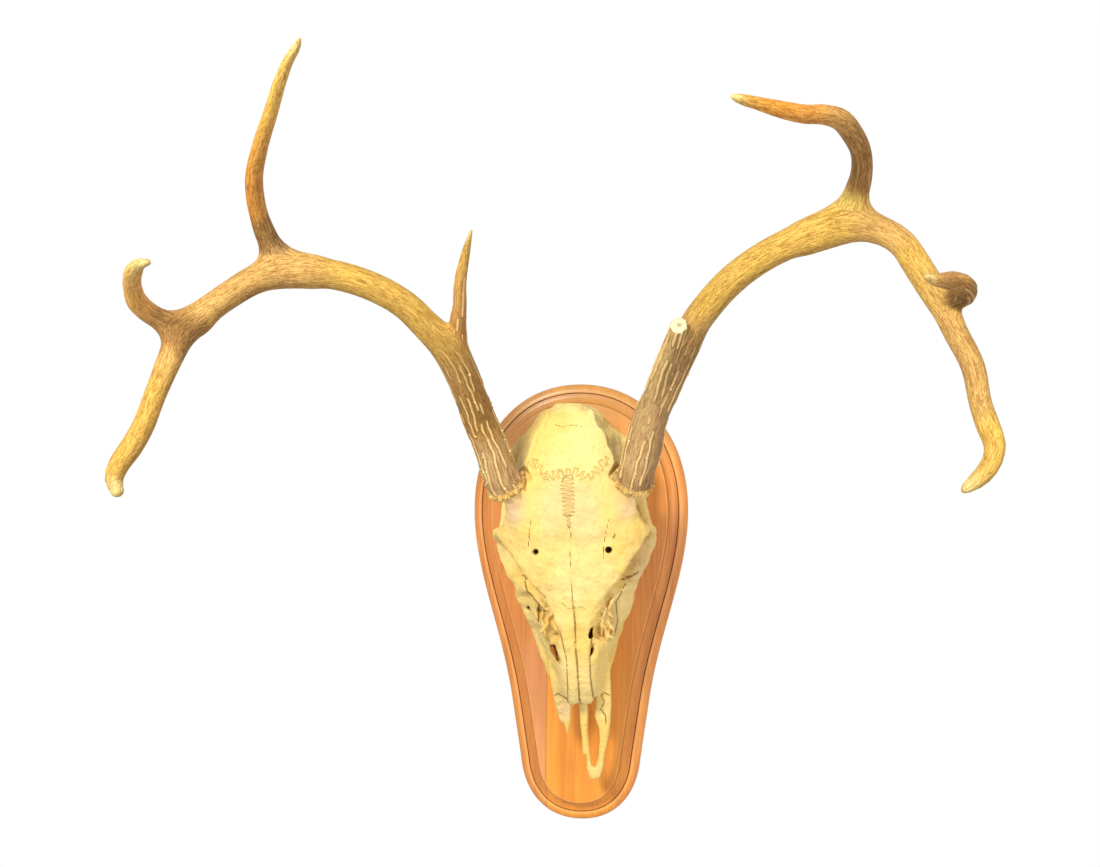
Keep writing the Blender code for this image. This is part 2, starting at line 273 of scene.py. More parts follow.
def wood_finish():
    wood = Finish("lacquered_wood")
    here = wood.here()
    x, _, z = here.split()
    sway = wood.noise(here.stretched(7, 7, 2.4), 2.0)
    figure = wood.noise(here.stretched(130, 80, 7), 4.0, 0.6)
    fine = wood.noise(here.stretched(520, 300, 16), 3.0, 0.6)
    pores = wood.noise(here.stretched(1300, 800, 45), 2.0, 0.6)
    grain = (figure * 0.45 + fine * 0.35 + sway * 0.2).between(0.36, 0.62)
    inset = wood.attribute("inset")
    dark = wood.mix(grain, (0.52, 0.18, 0.04), (0.66, 0.26, 0.065))
    pink = inset.between(STEP + 0.1, LIP) * (1 - z.between(-0.06, 0.0)) * 0.55
    dark = wood.mix(pink, dark, wood.mix(grain, (0.56, 0.23, 0.10), (0.66, 0.30, 0.14)))
    light = wood.mix(grain, (0.62, 0.21, 0.03), (0.78, 0.31, 0.045))
    across = x + (z * -0.012)
    colour = wood.mix(across.between(STAVE_JOINT - 0.4 * MM, STAVE_JOINT + 0.4 * MM), dark, light)
    # Painted shade: the plaque's right side, right of the skull, is tinted darker, less so towards the top.
    side = across.between(0.02, 0.06) * 0.6 * (1 - z.between(0.02, 0.12) * 0.7)
    colour = wood.mix(side, colour, wood.mix(grain, (0.50, 0.18, 0.06), (0.62, 0.26, 0.10)))
    # Painted shade: the cove is tinted darker, most just inside the quirk, fading out towards the panel.
    cove = inset.between(7.0, 7.6) * (1 - inset.between(9.0, 14.0))
    # Painted highlight: a bright line along the panel's lip and a bright band along the bead's crest.
    painted_highlight = inset.near(LIP, 0.15, 0.45) * 0.35 + inset.near(CREST, 0.4, 1.6) * 0.3
    knot = wood.node("ShaderNodeVectorMath", {"operation": "DISTANCE"}, "Value", i0=here, i1=KNOT_PLACE)
    worn = wood.noise(here.stretched(160, 160, 60), 4.0, 0.7)
    edge = (x * -1.0).between(0.076, 0.083) * z.between(-0.02, 0.0) * (1 - z.between(0.045, 0.075))
    colour = wood.coat(
        colour,
        (across.near(STAVE_JOINT, 0.0001, 0.0007) * 0.5, (0.30, 0.09, 0.03)),
        # painted shade in the cove
        (cove * 0.4, (0.42, 0.14, 0.025)),
        # painted shadow: a dark line where the raised panel's edge steps down into the cove
        (inset.near(STEP, 0.2, 0.8) * 0.5, (0.30, 0.09, 0.02)),
        # painted highlight on the lip and the bead's crest
        (painted_highlight, (0.92, 0.56, 0.22)),
        (z.between(0.09, 0.16) * 0.55, (0.42, 0.25, 0.09)),
        # painted shade: a dark line down in the quirk
        (inset.near(QUIRK, 0.1, 0.5) * 0.8, (0.13, 0.045, 0.015)),
        (pores.between(0.62, 0.76) * 0.3, (0.28, 0.08, 0.025)),
        ((1 - knot.between(0.0006, 0.0022)) * 0.85, (0.10, 0.03, 0.015)),
        (edge * worn.between(0.45, 0.6) * 0.7, (0.74, 0.50, 0.30)),
    )
    bump = wood.node("ShaderNodeBump", None, Height=pores * 0.6 + fine * 0.4, Distance=0.0002, Strength=0.3)
    wood.feed(Base_Color=colour, Roughness=0.36 + pores * 0.1, Specular_IOR_Level=0.3, Normal=bump)
    wood.feed(Coat_Weight=0.15, Coat_Roughness=0.22)
    return wood.material


def bezier(points, t):
    a, b, c, d = points
    u = 1 - t
    return tuple(
        a[n] * u**3 + 3 * b[n] * u * u * t + 3 * c[n] * u * t * t + d[n] * t**3 for n in range(2)
    )


def teardrop(steps):
    right = [bezier(span, n / steps) for span in OUTLINE_SPANS for n in range(steps)] + [(0, -1)]
    left = [(-x, z) for x, z in reversed(right[1:-1])]
    return [Vector((x * PLAQUE_WIDTH / 2, 0, z * PLAQUE_HEIGHT / 2)) for x, z in right + left]


def arc(centre, radii, start, end, steps):
    """Points of a round stretch of the router's cutter, in inset and rise, mm."""
    turns = [math.radians(start + (end - start) * n / steps) for n in range(steps + 1)]
    return [(centre[0] + radii[0] * math.cos(a), centre[1] + radii[1] * math.sin(a)) for a in turns]


def router_profile():
    bead = arc((6.6, 7.0), (6.6, 5.3), 180, 90, 9)
    quirk = [(6.85, 11.8), (7.0, 11.3), (7.25, 11.3), (7.4, 11.8)]
    cove = [(7.5, 12.3), (7.8, 12.35)] + arc((7.8, 18.6), (7.2, 6.25), -90, -8, 9)
    edge = [(15.1, 18.5), (15.2, 19.2)] + arc((16.1, 19.2), (0.9, 0.8), 180, 90, 4)
    return [(0.5, 0)] + arc((0.5, 0.5), (0.5, 0.5), 270, 180, 3)[1:] + bead + quirk + cove + edge


def outline_distance(points, x, y):
    """Signed distance to a closed outline, on a flat grid."""
    nearest = np.full(np.broadcast(x, y).shape, 1e9)
    inside = np.zeros(nearest.shape, bool)
    for (ax, ay), (bx, by) in zip(points, np.roll(points, -1, 0)):
        dx, dy = bx - ax, by - ay
        t = np.clip(((x - ax) * dx + (y - ay) * dy) / (dx * dx + dy * dy + 1e-9), 0, 1)
        nearest = np.minimum(nearest, (x - ax - t * dx) ** 2 + (y - ay - t * dy) ** 2)
        spans = (ay > y) != (by > y)
        inside ^= spans & (x < ax + dx * (y - ay) / (dy if abs(dy) > 1e-9 else 1e-9))
    return np.where(inside, -1, 1) * np.sqrt(nearest)


def poly_curve(name, points, closed):
    curve = bpy.data.curves.new(name, "CURVE")
    curve.dimensions = "3D"
    spline = curve.splines.new("POLY")
    spline.points.add(len(points) - 1)
    for point, place in zip(spline.points, points):
        point.co = (*place, 1)
    spline.use_cyclic_u = closed
    return add_piece(name, curve)


def begin_tree(name, **inputs):
    """A geometry tree with named inputs: its wiring, and what the object and each input give."""
    tree = bpy.data.node_groups.new(name, "GeometryNodeTree")
    tree.interface.new_socket("Geometry", in_out="INPUT", socket_type="NodeSocketGeometry")
    for word, kind in inputs.items():
        tree.interface.new_socket(word.replace("_", " "), in_out="INPUT", socket_type=f"NodeSocket{kind}")
    tree.interface.new_socket("Geometry", in_out="OUTPUT", socket_type="NodeSocketGeometry")
    wiring = Wiring(tree)
    entry = Flow(wiring, tree.nodes.new("NodeGroupInput").outputs[0])
    return wiring, [entry.beside(n) for n in range(len(inputs) + 1)]


def end_tree(wiring, shapes, material):
    """Turns what a tree has set out into plain faces of one material."""
    plain = wiring.node("GeometryNodeRealizeInstances", Geometry=shapes)
    painted = wiring.node("GeometryNodeSetMaterial", Geometry=plain, Material=material)
    wiring.put(painted, wiring.tree.nodes.new("NodeGroupOutput").inputs[0])
    return wiring.tree


def moulding_tree():
    """Runs the router's cutter round the outline."""
    wiring, (_, outline, cutter, wood) = begin_tree(
        "routed_edge", Outline="Object", Cutter="Object", Wood="Material"
    )
    path = wiring.node("GeometryNodeObjectInfo", None, "Geometry", Object=outline)
    profile = wiring.node("GeometryNodeObjectInfo", None, "Geometry", Object=cutter)
    return end_tree(wiring, wiring.node("GeometryNodeCurveToMesh", Curve=path, Profile_Curve=profile), wood)


def run_tree(holder, tree, **values):
    """Puts a node tree on an object, sets its named inputs, and returns the plain mesh that it makes."""
    modifier = holder.modifiers.new(tree.name, "NODES")
    modifier.node_group = tree
    sockets = {item.name: item.identifier for item in tree.interface.items_tree if item.in_out == "INPUT"}
    for name, value in values.items():
        modifier[sockets[name.replace("_", " ")]] = value
    bpy.context.view_layer.update()
    made = holder.evaluated_get(bpy.context.evaluated_depsgraph_get())
    mesh = bpy.data.meshes.new_from_object(made)
    holder.modifiers.remove(modifier)
    return mesh


wood_material = wood_finish()
outline_curve = poly_curve("outline", teardrop(24), True)
cutter_curve = poly_curve("cutter", [(rise * MM, inset * MM, 0) for inset, rise in router_profile()], False)
holder = add_piece("holder", bpy.data.meshes.new("holder"))
plaque_mesh = run_tree(
    holder, moulding_tree(), Outline=outline_curve, Cutter=cutter_curve, Wood=wood_material
)
for used in (outline_curve, cutter_curve, holder):
    bpy.data.objects.remove(used)
plaque_bm = bmesh.new()
plaque_bm.from_mesh(plaque_mesh)
rims = [edge for edge in plaque_bm.edges if edge.is_boundary]
bmesh.ops.holes_fill(plaque_bm, edges=rims, sides=0)
bmesh.ops.recalc_face_normals(plaque_bm, faces=plaque_bm.faces)
plaque_bm.to_mesh(plaque_mesh)
plaque_bm.free()
places = read_rows(plaque_mesh.vertices, "co")
rim = np.array([(point.x, point.z) for point in teardrop(24)])
write_marks(plaque_mesh, {"inset": outline_distance(rim, places[:, 0], places[:, 2]) / -MM})
plaque_mesh.shade_smooth()
plaque_mesh.set_sharp_from_angle(angle=math.radians(38))
plaque = add_piece("moulded_plaque", plaque_mesh)
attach(plaque, "root")
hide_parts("plaque")


# The skull: one dry, bleached bone, held on the plaque from behind. Its braincase, eye rims, cheek arches,
# muzzle and gums are modelled in clay, a block of signed distances, from sections and bars. Then its hollows
# are carved out, and a skin is drawn over it.
SKULL_ASIDE = 3.9 * MM
SKULL_RAISED = 47.7 * MM
SKULL_TILT = 2.0
SEAT_GAP = 0.3
SKULL_LOW = (-66, -99, -190)
SKULL_HIGH = (66, 1, 113)
SKULL_GRAIN = 1.16
LEAN = 0.055
LEAN_HEIGHT = 76
BROW_HOLE = (26.6, 0)
CHEEK_NICK = (-37, -45)
PEDICLE_ROOT = (34, -66, 16)
TOOTH_COUNT = 6
TOOTH_WIDTH = 11.5
BURR_PLACE = (46, 84, 47.5)
BURR_HEADING = (0.30, 0.60, 0.74)
BURR_DIAMETER = 30
SECTIONS = (
    (107, 63, (4, 62), (7, 56), (6, 48), (4, 42)),
    (104, 68, (10, 67), (17, 58), (14, 44), (8, 32)),
    (98, 75, (17, 73), (25, 60), (23, 42), (13, 24)),
    (87, 81, (21, 78), (31, 60), (32, 40), (16, 18)),
    (73, 86, (28, 82), (37, 62), (36, 42), (19, 14)),
    (60, 89, (31, 85), (41, 63), (37, 42), (20, 13)),
    (46, 90, (33, 87), (43, 66), (34, 42), (20, 14)),
    (30, 91, (38, 87), (49, 72), (31, 46), (20, 18)),
    (14, 91, (38, 86), (60, 67), (27, 52), (18, 24)),
    (2, 89, (35, 85), (55, 70), (24, 52), (16, 28)),
    (-12, 88, (31, 84), (45, 72), (24, 52), (17, 28)),
    (-26, 84, (27, 80), (37, 66), (36, 44), (24, 22)),
    (-42, 79, (19, 76), (35, 55), (42, 35), (30, 13)),
    (-62, 75, (13, 73), (27, 55), (33, 35), (26, 12)),
    (-80, 70, (12, 68), (21, 52), (26, 34), (20, 14)),
    (-98, 63, (11, 61), (17, 48), (22, 34), (14, 20)),
    (-108, 57, (10, 55), (15, 46), (20, 36), (12, 26)),
    (-113, 53, (8, 51), (12, 44), (15, 37), (9, 30)),
)
# Outlines seen from the front, x and s, each drawn for the right side unless it says otherwise
EYE_CORNER = ((58, 13.8), (50.5, 3.5), (40.5, -11), (33, -21.5), (21.5, -35), (26, -42), (50, -42),
              (80, -10), (80, 13))
TEMPLE = ((47.5, 37), (47.5, 29), (51, 20.5), (58, 14), (80, 12), (80, 37))
LEFT_CHEEK = ((-30, 12), (-54, 13), (-58, 7.5), (-58.5, -0.5), (-56.5, -9), (-51, -17), (-45.5, -24),
              (-42, -40), (-26, -44))
RIGHT_CHEEK = ((30, 12), (53, 13), (56.5, 7.5), (56.5, -1), (53, -10.5), (46, -19), (42, -27), (40, -42),
               (26, -44))
LEFT_NASAL = ((-2.2, -30), (-10, -42), (-15.4, -51), (-12.2, -59), (-10.4, -70), (-8.5, -82), (-9.2, -100),
              (-11, -117), (-9, -117.5), (-6.9, -120.5), (-5, -118), (-2.6, -119.5), (-1.2, -100),
              (-1.2, -70), (-0.6, -53.6), (-1.4, -42))
RIGHT_NASAL = ((-1.6, -30), (8, -42), (12.8, -52), (11, -59), (11, -67), (9, -80), (8.2, -95), (8.8, -114.5),
               (6.4, -118.2), (3.3, -118.2), (-1.8, -119.5), (-0.3, -100), (-0.5, -70), (0.3, -53.6),
               (-0.5, -42))
VACUITY = ((26, -33), (28, -42), (28, -55), (27, -67), (20, -70), (13.5, -64), (14.5, -52), (20.5, -39))
LEFT_SLITS = (
    ((-18.9, -69), (-14.4, -67.5), (-10.6, -82), (-13, -80)),
    ((-26.4, -37), (-24.3, -42), (-25.3, -53), (-26.8, -48)),
    ((-23.8, -78), (-22, -85), (-20.8, -91.5), (-23, -87)),
)
RIGHT_SLITS = (
    ((14.3, -54), (11.2, -57), (10.4, -63), (12.8, -64)),
    ((13.4, -67), (10.6, -76), (9.4, -80.5), (13.8, -74)),
)
LEFT_TIP = ((-25, -86), (-25, -97), (-24, -104), (-23.2, -110), (-22.8, -115), (-21.9, -122), (-19.7, -134),
            (-16.4, -136), (-15.6, -141), (-13.4, -145.5), (-12.4, -138.5), (-10.4, -129.5), (-9.6, -121),
            (-8, -112), (-10, -86))
RIGHT_TIP = ((8, -86), (22.5, -86), (21.5, -98), (21.2, -108), (20.8, -117), (19.5, -133.5), (16.8, -148.5),
             (13.4, -160), (11.5, -171.5), (8.7, -179), (4, -180.8), (1, -180.3), (-0.8, -173),
             (-0.8, -160.5), (-3.2, -160.3), (-3.6, -149), (-4.4, -136), (-4.4, -110), (2, -110),
             (2.6, -128), (1.5, -143), (1.6, -157), (2.8, -169.5), (5.6, -170.8), (8.5, -162), (9.9, -149),
             (9.9, -140), (7.1, -129.5), (8.4, -118))
CROWN = ((-122, 44), *sorted((row[0], row[1]) for row in SECTIONS))
TIP_CROWN = ((-180, 25), (-160, 28), (-140, 32), (-125, 36), (-114, 40.5), (-98, 45), (-86, 47))
# Sutures: each zigzag seam's swing to either side, the length of one zigzag, and its line, then plain cracks,
# with dark lines of painted shade along the supraorbital grooves and the nasals' edges
SEAMS = (
    (3.4, 5.2, ((-33, 62), (-25, 65), (-20, 59.5), (-15, 52.5), (-10, 56), (-4, 56), (6, 57.5), (13, 52.5),
                (18.5, 55), (25.5, 63.5), (30, 65.5))),
    (4.6, 2.9, ((-0.9, 54), (-0.6, 40), (-0.9, 26))),
    (1.6, 2.9, ((-0.9, 26), (-0.6, 17))),
)
CRACKS_AND_CREASE_SHADE = (
    (0.7, ((-0.7, 18), (0.4, 12), (-0.4, 7), (-0.2, 3), (-1.4, -6), (-0.2, -15), (-0.8, -22), (-1.1, -31),
           (-1, -42), (-0.2, -54), (-1.2, -70), (-0.7, -85), (-1, -100), (-2.1, -120))),
    (1.1, ((-1, -40), (-0.2, -54), (-1.2, -70), (-0.7, -85), (-1, -100), (-2.1, -120))),
    (0.9, ((-22, -113), (-19, -110.5), (-17, -113), (-13, -115), (-11.2, -119))),
    (0.9, ((19.5, -113), (16, -110.5), (13.5, -113), (15.5, -118), (12.5, -124), (16, -130), (15.5, -136))),
    # painted shade along the supraorbital grooves
    (0.6, ((-31.5, 4), (-30.2, 13), (-28.4, 24))),
    (0.6, ((23, -8), (23.4, 3), (25, 11), (28.5, 23))),
    (0.5, ((-9, -38), (-5, -42), (-1, -43), (4, -41), (9, -44))),
    (1.2, ((-40, -20), (-36, -31), (-30, -38), (-24, -45))),
    (0.9, ((-42, -20), (-37, -22))),
    (1.3, ((45, -20), (40, -22.5), (34, -23.5))),
    (0.7, ((37, -25), (33, -34), (29, -40), (29, -56), (26, -66))),
    # painted shade along the nasals' raised edges
    (0.75, ((11, -66), (9, -80), (8.2, -95), (8.8, -115))),
    (0.75, ((-12.2, -59), (-10.4, -70), (-8.5, -82), (-9.2, -100), (-11, -117))),
    (0.5, ((-10, 92), (-4, 90.5), (3, 91.5), (10, 90))),
)


class Clay:
    """A block of signed distances in mm, below 0 inside the shape."""

    def __init__(self, low, high, grain):
        self.low = np.array(low, float)
        self.grain = grain
        counts = np.ceil((np.array(high) - self.low) / grain).astype(int) + 1
        self.axes = [(self.low[n] + grain * np.arange(counts[n])).astype(np.float32) for n in range(3)]
        self.field = np.full(counts, 50, np.float32)

    def window(self, low, high):
        """The slices of the block between two corners, and their coordinates."""
        cuts = []
        for axis, start, end in zip(self.axes, low, high):
            first = max(0, int((start - axis[0]) / self.grain))
            cuts.append(slice(first, min(len(axis), int((end - axis[0]) / self.grain) + 2)))
        x, y, z = (axis[cut] for axis, cut in zip(self.axes, cuts))
        return tuple(cuts), (x[:, None, None], y[None, :, None], z[None, None, :])

    def add(self, cuts, shape, soft):
        """Joins a shape to the clay, with a fillet as wide as soft."""
        there = self.field[cuts]
        fillet = np.clip(soft - np.abs(there - shape), 0, None) ** 2 / (4 * soft)
        self.field[cuts] = np.minimum(there, shape) - fillet

    def carve(self, cuts, shape, soft):
        there = self.field[cuts]
        fillet = np.clip(soft - np.abs(there + shape), 0, None) ** 2 / (4 * soft)
        self.field[cuts] = np.maximum(there, -shape) + fillet

    def bar_shape(self, places, radii, margin):
        """Distances to a round bar through places, in the window round it."""
        most = radii.max() + margin
        cuts, _ = self.window(places.min(0) - most, places.max(0) + most)
        shape = np.full([cut.stop - cut.start for cut in cuts], 50, np.float32)
        for a, b, ra, rb in zip(places, places[1:], radii, radii[1:]):
            reach = max(ra, rb) + margin
            near, (x, y, z) = self.window(np.minimum(a, b) - reach, np.maximum(a, b) + reach)
            inner = tuple(slice(n.start - c.start, n.stop - c.start) for n, c in zip(near, cuts))
            d = b - a
            length = max(float(d @ d), 1e-6)
            t = np.clip(((x - a[0]) * d[0] + (y - a[1]) * d[1] + (z - a[2]) * d[2]) / length, 0, 1)
            gap = np.sqrt(
                (x - a[0] - t * d[0]) ** 2 + (y - a[1] - t * d[1]) ** 2 + (z - a[2] - t * d[2]) ** 2
            )
            shape[inner] = np.minimum(shape[inner], gap - ra - t * (rb - ra))
        return cuts, shape

    def bar(self, places, radii, soft=4.0, carve=False):
        cuts, shape = self.bar_shape(np.asarray(places, float), np.asarray(radii, float), soft + 3)
        (self.carve if carve else self.add)(cuts, shape, soft)

    def ball(self, centre, radii, soft=4.0, carve=False, turn=None):
        """A ball stretched to three radii, turned by a matrix."""
        centre = np.asarray(centre, float)
        reach = max(radii) + soft + 3
        cuts, (x, y, z) = self.window(centre - reach, centre + reach)
        turned = np.eye(3) if turn is None else np.array(turn).T
        gaps = [
            row[0] * (x - centre[0]) + row[1] * (y - centre[1]) + row[2] * (z - centre[2]) for row in turned
        ]
        near = np.sqrt(sum((gap / r) ** 2 for gap, r in zip(gaps, radii))) + 1e-6
        steep = np.sqrt(sum((gap / r**2) ** 2 for gap, r in zip(gaps, radii))) + 1e-6
        (self.carve if carve else self.add)(cuts, near * (near - 1) / steep, soft)

    def prism(self, outline, low, high, soft=1.5, carve=False, edge=1.5, lean=(0, 0)):
        """A plate cut to an outline in x and s, between two heights that may change with s; it may lean."""
        outline = np.asarray(outline, float)
        (west, south), (east, north) = outline.min(0), outline.max(0)
        lows, highs = (np.array(h if isinstance(h, tuple) else ((0, h),), float) for h in (low, high))
        deep, top = lows[:, 1].min(), highs[:, 1].max()
        slope = np.abs(lean) * (top - deep)
        pad = soft + 3
        cuts, (x, y, z) = self.window(
            (west - pad - slope[0], -top - pad, south - pad - slope[1]),
            (east + pad + slope[0], -deep + pad, north + pad + slope[1]),
        )
        flat = np.interp(z, lows[:, 0], lows[:, 1]), np.interp(z, highs[:, 0], highs[:, 1])
        if any(lean):
            sides = [outline_distance(outline, x[:, 0] + lean[0] * (top + h), z[0] + lean[1] * (top + h))
                     for h in y[0, :, 0]]
            aside = np.stack(sides, 1)
        else:
            aside = outline_distance(outline, x[:, 0], z[0])[:, None, :]
        over = np.maximum(flat[0] + y, -y - flat[1]) + edge
        aside = aside + edge
        shape = np.minimum(np.maximum(aside, over), 0) - edge
        shape = shape + np.sqrt(np.clip(aside, 0, None) ** 2 + np.clip(over, 0, None) ** 2)
        (self.carve if carve else self.add)(cuts, shape.astype(np.float32), soft)

    def skin(self):
        """Corners and four-sided faces of the surface where the distance is 0."""
        f = self.field
        inside = f < 0
        core = tuple(n - 1 for n in f.shape)
        corner = [(a, b, c) for a in (0, 1) for b in (0, 1) for c in (0, 1)]
        views = {k: tuple(slice(k[n], k[n] + core[n]) for n in range(3)) for k in corner}
        count = sum(inside[views[k]].astype(np.int8) for k in corner)
        cells = np.argwhere((count > 0) & (count < 8))
        number = np.full(core, -1, np.int32)
        number[tuple(cells.T)] = np.arange(len(cells))
        values = {k: f[tuple((cells + k).T)] for k in corner}
        total = np.zeros((len(cells), 3))
        crossings = np.zeros(len(cells))
        for k in corner:
            for axis in range(3):
                if k[axis]:
                    continue
                far = tuple(1 if n == axis else k[n] for n in range(3))
                cross = (values[k] < 0) != (values[far] < 0)
                t = np.where(cross, values[k] / np.where(cross, values[k] - values[far], 1), 0)
                place = np.array(k, float) + t[:, None] * np.eye(3)[axis]
                total += place * cross[:, None]
                crossings += cross
        corners = self.low + (cells + total / crossings[:, None]) * self.grain
        faces = []
        for axis in range(3):
            side, up = (axis + 1) % 3, (axis + 2) % 3
            near = [slice(1, n - 1) for n in f.shape]
            far = list(near)
            near[axis] = slice(0, f.shape[axis] - 1)
            far[axis] = slice(1, f.shape[axis])
            start = np.argwhere(inside[tuple(near)] != inside[tuple(far)])
            offset = np.ones(3, int)
            offset[axis] = 0
            start = start + offset
            steps = [np.zeros(3, int) for _ in range(4)]
            steps[0][side] = steps[0][up] = -1
            steps[1][up] = -1
            steps[3][side] = -1
            quad = np.stack([number[tuple((start + step).T)] for step in steps], 1)
            flip = ~inside[tuple(start.T)]
            quad[flip] = quad[flip][:, ::-1]
            faces.append(quad)
        return corners, np.concatenate(faces)


def mesh_of(name, corners, faces):
    mesh = bpy.data.meshes.new(name)
    mesh.vertices.add(len(corners))
    mesh.vertices.foreach_set("co", np.ascontiguousarray(corners, np.float32).ravel())
    mesh.loops.add(faces.size)
    mesh.loops.foreach_set("vertex_index", np.ascontiguousarray(faces, np.int32).ravel())
    mesh.polygons.add(len(faces))
    mesh.polygons.foreach_set("loop_start", np.arange(0, faces.size, faces.shape[1], dtype=np.int32))
    mesh.update(calc_edges=True)
    mesh.validate()
    mesh.shade_smooth()
    return mesh


def smooth_path(rows, gap):
    """Rows of numbers, read off a smooth curve through them about every gap mm."""
    rows = np.asarray(rows, float)
    steps = np.linalg.norm(np.diff(rows[:, :3], axis=0), axis=1)
    slopes = np.diff(rows, axis=0) / steps[:, None]
    both = (steps[1:] + steps[:-1])[:, None]
    inner = (slopes[:-1] * steps[1:, None] + slopes[1:] * steps[:-1, None]) / both
    tangents = np.vstack([slopes[:1] * 1.5 - inner[:1] * 0.5, inner, slopes[-1:] * 1.5 - inner[-1:] * 0.5])
    made = []
    for n, step in enumerate(steps):
        a, b, leave, arrive = rows[n], rows[n + 1], tangents[n] * step, tangents[n + 1] * step
        count = max(2, int(step / gap))
        for t in np.arange(count) / count:
            turned = t * t * (3 - 2 * t)
            made.append(a + turned * (b - a) + t * (1 - t) * ((1 - t) * leave - t * arrive))
    return np.array(made + [rows[-1]])


def closed_path(points, steps):
    """A closed smooth curve through points."""
    points = np.asarray(points, float)
    count = len(points)
    made = []
    for n in range(count):
        a, b, c, d = (points[(n + k) % count] for k in (-1, 0, 1, 2))
        for t in np.arange(steps) / steps:
            made.append(b + 0.5 * t * (c - a + t * (2 * a - 5 * b + 4 * c - d + t * (3 * (b - c) + d - a))))
    return np.array(made)


skull_clay = Clay(SKULL_LOW, SKULL_HIGH, SKULL_GRAIN)
slices = []
for s, crown, *flank in SECTIONS:
    right = [(0, crown), *flank, (0, flank[-1][1])]
    ring = closed_path(right + [(-x, h) for x, h in reversed(flank)], 4)
    slices.append(outline_distance(ring, skull_clay.axes[0][:, None], -skull_clay.axes[1][None, :]))
slices = np.array(slices[::-1], np.float32)
stations = np.array([row[0] for row in SECTIONS][::-1], float)
along = skull_clay.axes[2]
span = np.clip(np.searchsorted(stations, along) - 1, 0, len(stations) - 2)
share = np.clip((along - stations[span]) / (stations[span + 1] - stations[span]), 0, 1)
lofted = slices[span] * (1 - share)[:, None, None] + slices[span + 1] * share[:, None, None]
weights = np.hanning(11)[1:-1]
weights /= weights.sum()
padded = np.pad(lofted, ((4, 4), (0, 0), (0, 0)), mode="edge")
lofted = sum(w * padded[n : n + len(along)] for n, w in enumerate(weights))
past = np.maximum(along - stations[-1], stations[0] - along)
lofted = np.maximum(lofted, past[:, None, None])
skull_clay.field = np.ascontiguousarray(np.moveaxis(lofted, 0, 2)).astype(np.float32)


def bone_bar(rows, soft=4.0, side=1):
    """A bar of bone through rows of (x, h, s, thickness)."""
    path = smooth_path([(side * x, -h, s, thick / 2) for x, h, s, thick in rows], 4)
    skull_clay.bar(path[:, :3], path[:, 3], soft)


def hollow(x, h, s, radii, soft=1.5, turn=(0, 0)):
    turned = Matrix.Rotation(math.radians(turn[1]), 3, "Z") @ Matrix.Rotation(math.radians(turn[0]), 3, "X")
    skull_clay.ball((x, -h, s), radii, soft, carve=True, turn=turned)


def burr_frame(side):
    x, h, s = BURR_PLACE
    heading = np.array((side * BURR_HEADING[0], -BURR_HEADING[1], BURR_HEADING[2]))
    return np.array((side * x, -h, s)), heading / np.linalg.norm(heading)


def mirrored(outline, side):
    return [(side * x, s) for x, s in outline]


def leant(outline, heights):
    """Shifts an outline that was read off the leaning skull back on to the upright one."""
    return [(x + LEAN * (LEAN_HEIGHT - np.interp(s, *zip(*heights))), s) for x, s in outline]


for side in (-1, 1):
    skull_clay.ball((side * 12, -24, 96), (10, 12, 10))
    skull_clay.ball((side * 26, -17, 66), (9, 12, 13))
    bone_bar(((18, 60, 94, 6), (28, 57, 87, 7), (37, 53, 81, 7), (43, 48, 73, 9), (46, 42, 60, 11)), 5, side)
    bone_bar(((16, 73, 101, 3), (19, 77.5, 92, 4), (24, 80, 84, 3.5), (27, 83, 76, 4), (31, 84, 66, 3),
              (34, 84, 57, 3)), 4, side)
    hollow(side * 39, 72, 77, (5, 6, 12), 8, (0, side * 12))
    muzzle_side = ((22, 30, -96, 8), (29.5, 31, -68, 11), (36.5, 38, -45, 12), (43, 44, -26, 11))
    if side > 0:
        muzzle_side = ((28, 28, -60, 11), (34, 36, -40, 12), (41, 43, -25, 11))
    arch = ((50, 46, -11, 10), (54, 46, 0, 8), (53, 44, 16, 9), (50, 43, 34, 9), (44, 42, 50, 11))
    bone_bar((*muzzle_side, *arch, (32, 42, 62, 16)), 5, side)
    skull_clay.prism(LEFT_CHEEK if side < 0 else RIGHT_CHEEK, 27, 49, 5, edge=4)
    bone_bar(((31, 74, -25, 9), (37, 60, -29, 8), (41, 50, -29, 9)), 5, side)
    bone_bar(((24, 20, 78, 14), (26, 11, 86, 10), (26, 4, 90, 6)), 4, side)
    bone_bar(((30, 14, -14, 13), (29, 15, -45, 14), (22, 16, -80, 11), (15, 24, -106, 9)), 4, side)
    for tooth in range(TOOTH_COUNT):
        share = tooth / (TOOTH_COUNT - 1)
        width = TOOTH_WIDTH * (1 - 0.25 * share)
        for cusp in (-0.28, 0.28):
            place = (side * (30 - 7 * share), -6, -18 - 60 * share + cusp * width)
            skull_clay.ball(place, (width * 0.42, 8, width * 0.3), 0.8)
    place, heading = burr_frame(side)
    neck = place - heading * BURR_DIAMETER * 0.5
    skull_clay.bar([PEDICLE_ROOT * np.array((side, 1, 1)), neck, place + heading * 4], [17.2, 13.8, 12.6], 7)
    hollow(side * 60, 62, -5, (25, 14, 16), 3)
    eye_floor = ((-42, 68), (-30, 68), (-20, 56), (14, 50))
    skull_clay.prism(mirrored(EYE_CORNER, side), eye_floor, 110, 1, carve=True)
    skull_clay.prism(mirrored(TEMPLE, side), 49, 110, 1, carve=True)
    bone_bar(((57, 64, 14, 5), (58, 57, 12, 6), (57.5, 50, 8, 7), (56, 44, 2, 8)), 3, side)
    hollow(side * 48, 56, 32, (12, 10, 13), 3)
    hollow(side * BROW_HOLE[0], 88, BROW_HOLE[1], (2.2, 9, 2.2), 0.6)
    hollow(side * 30, 84, 16, (2.5, 3, 10), 2)
    skull_clay.prism(mirrored(VACUITY, side), ((-70, 60), (-50, 66), (-30, 70)), 110, 1, carve=True, edge=2)
crumple = np.random.default_rng(3)
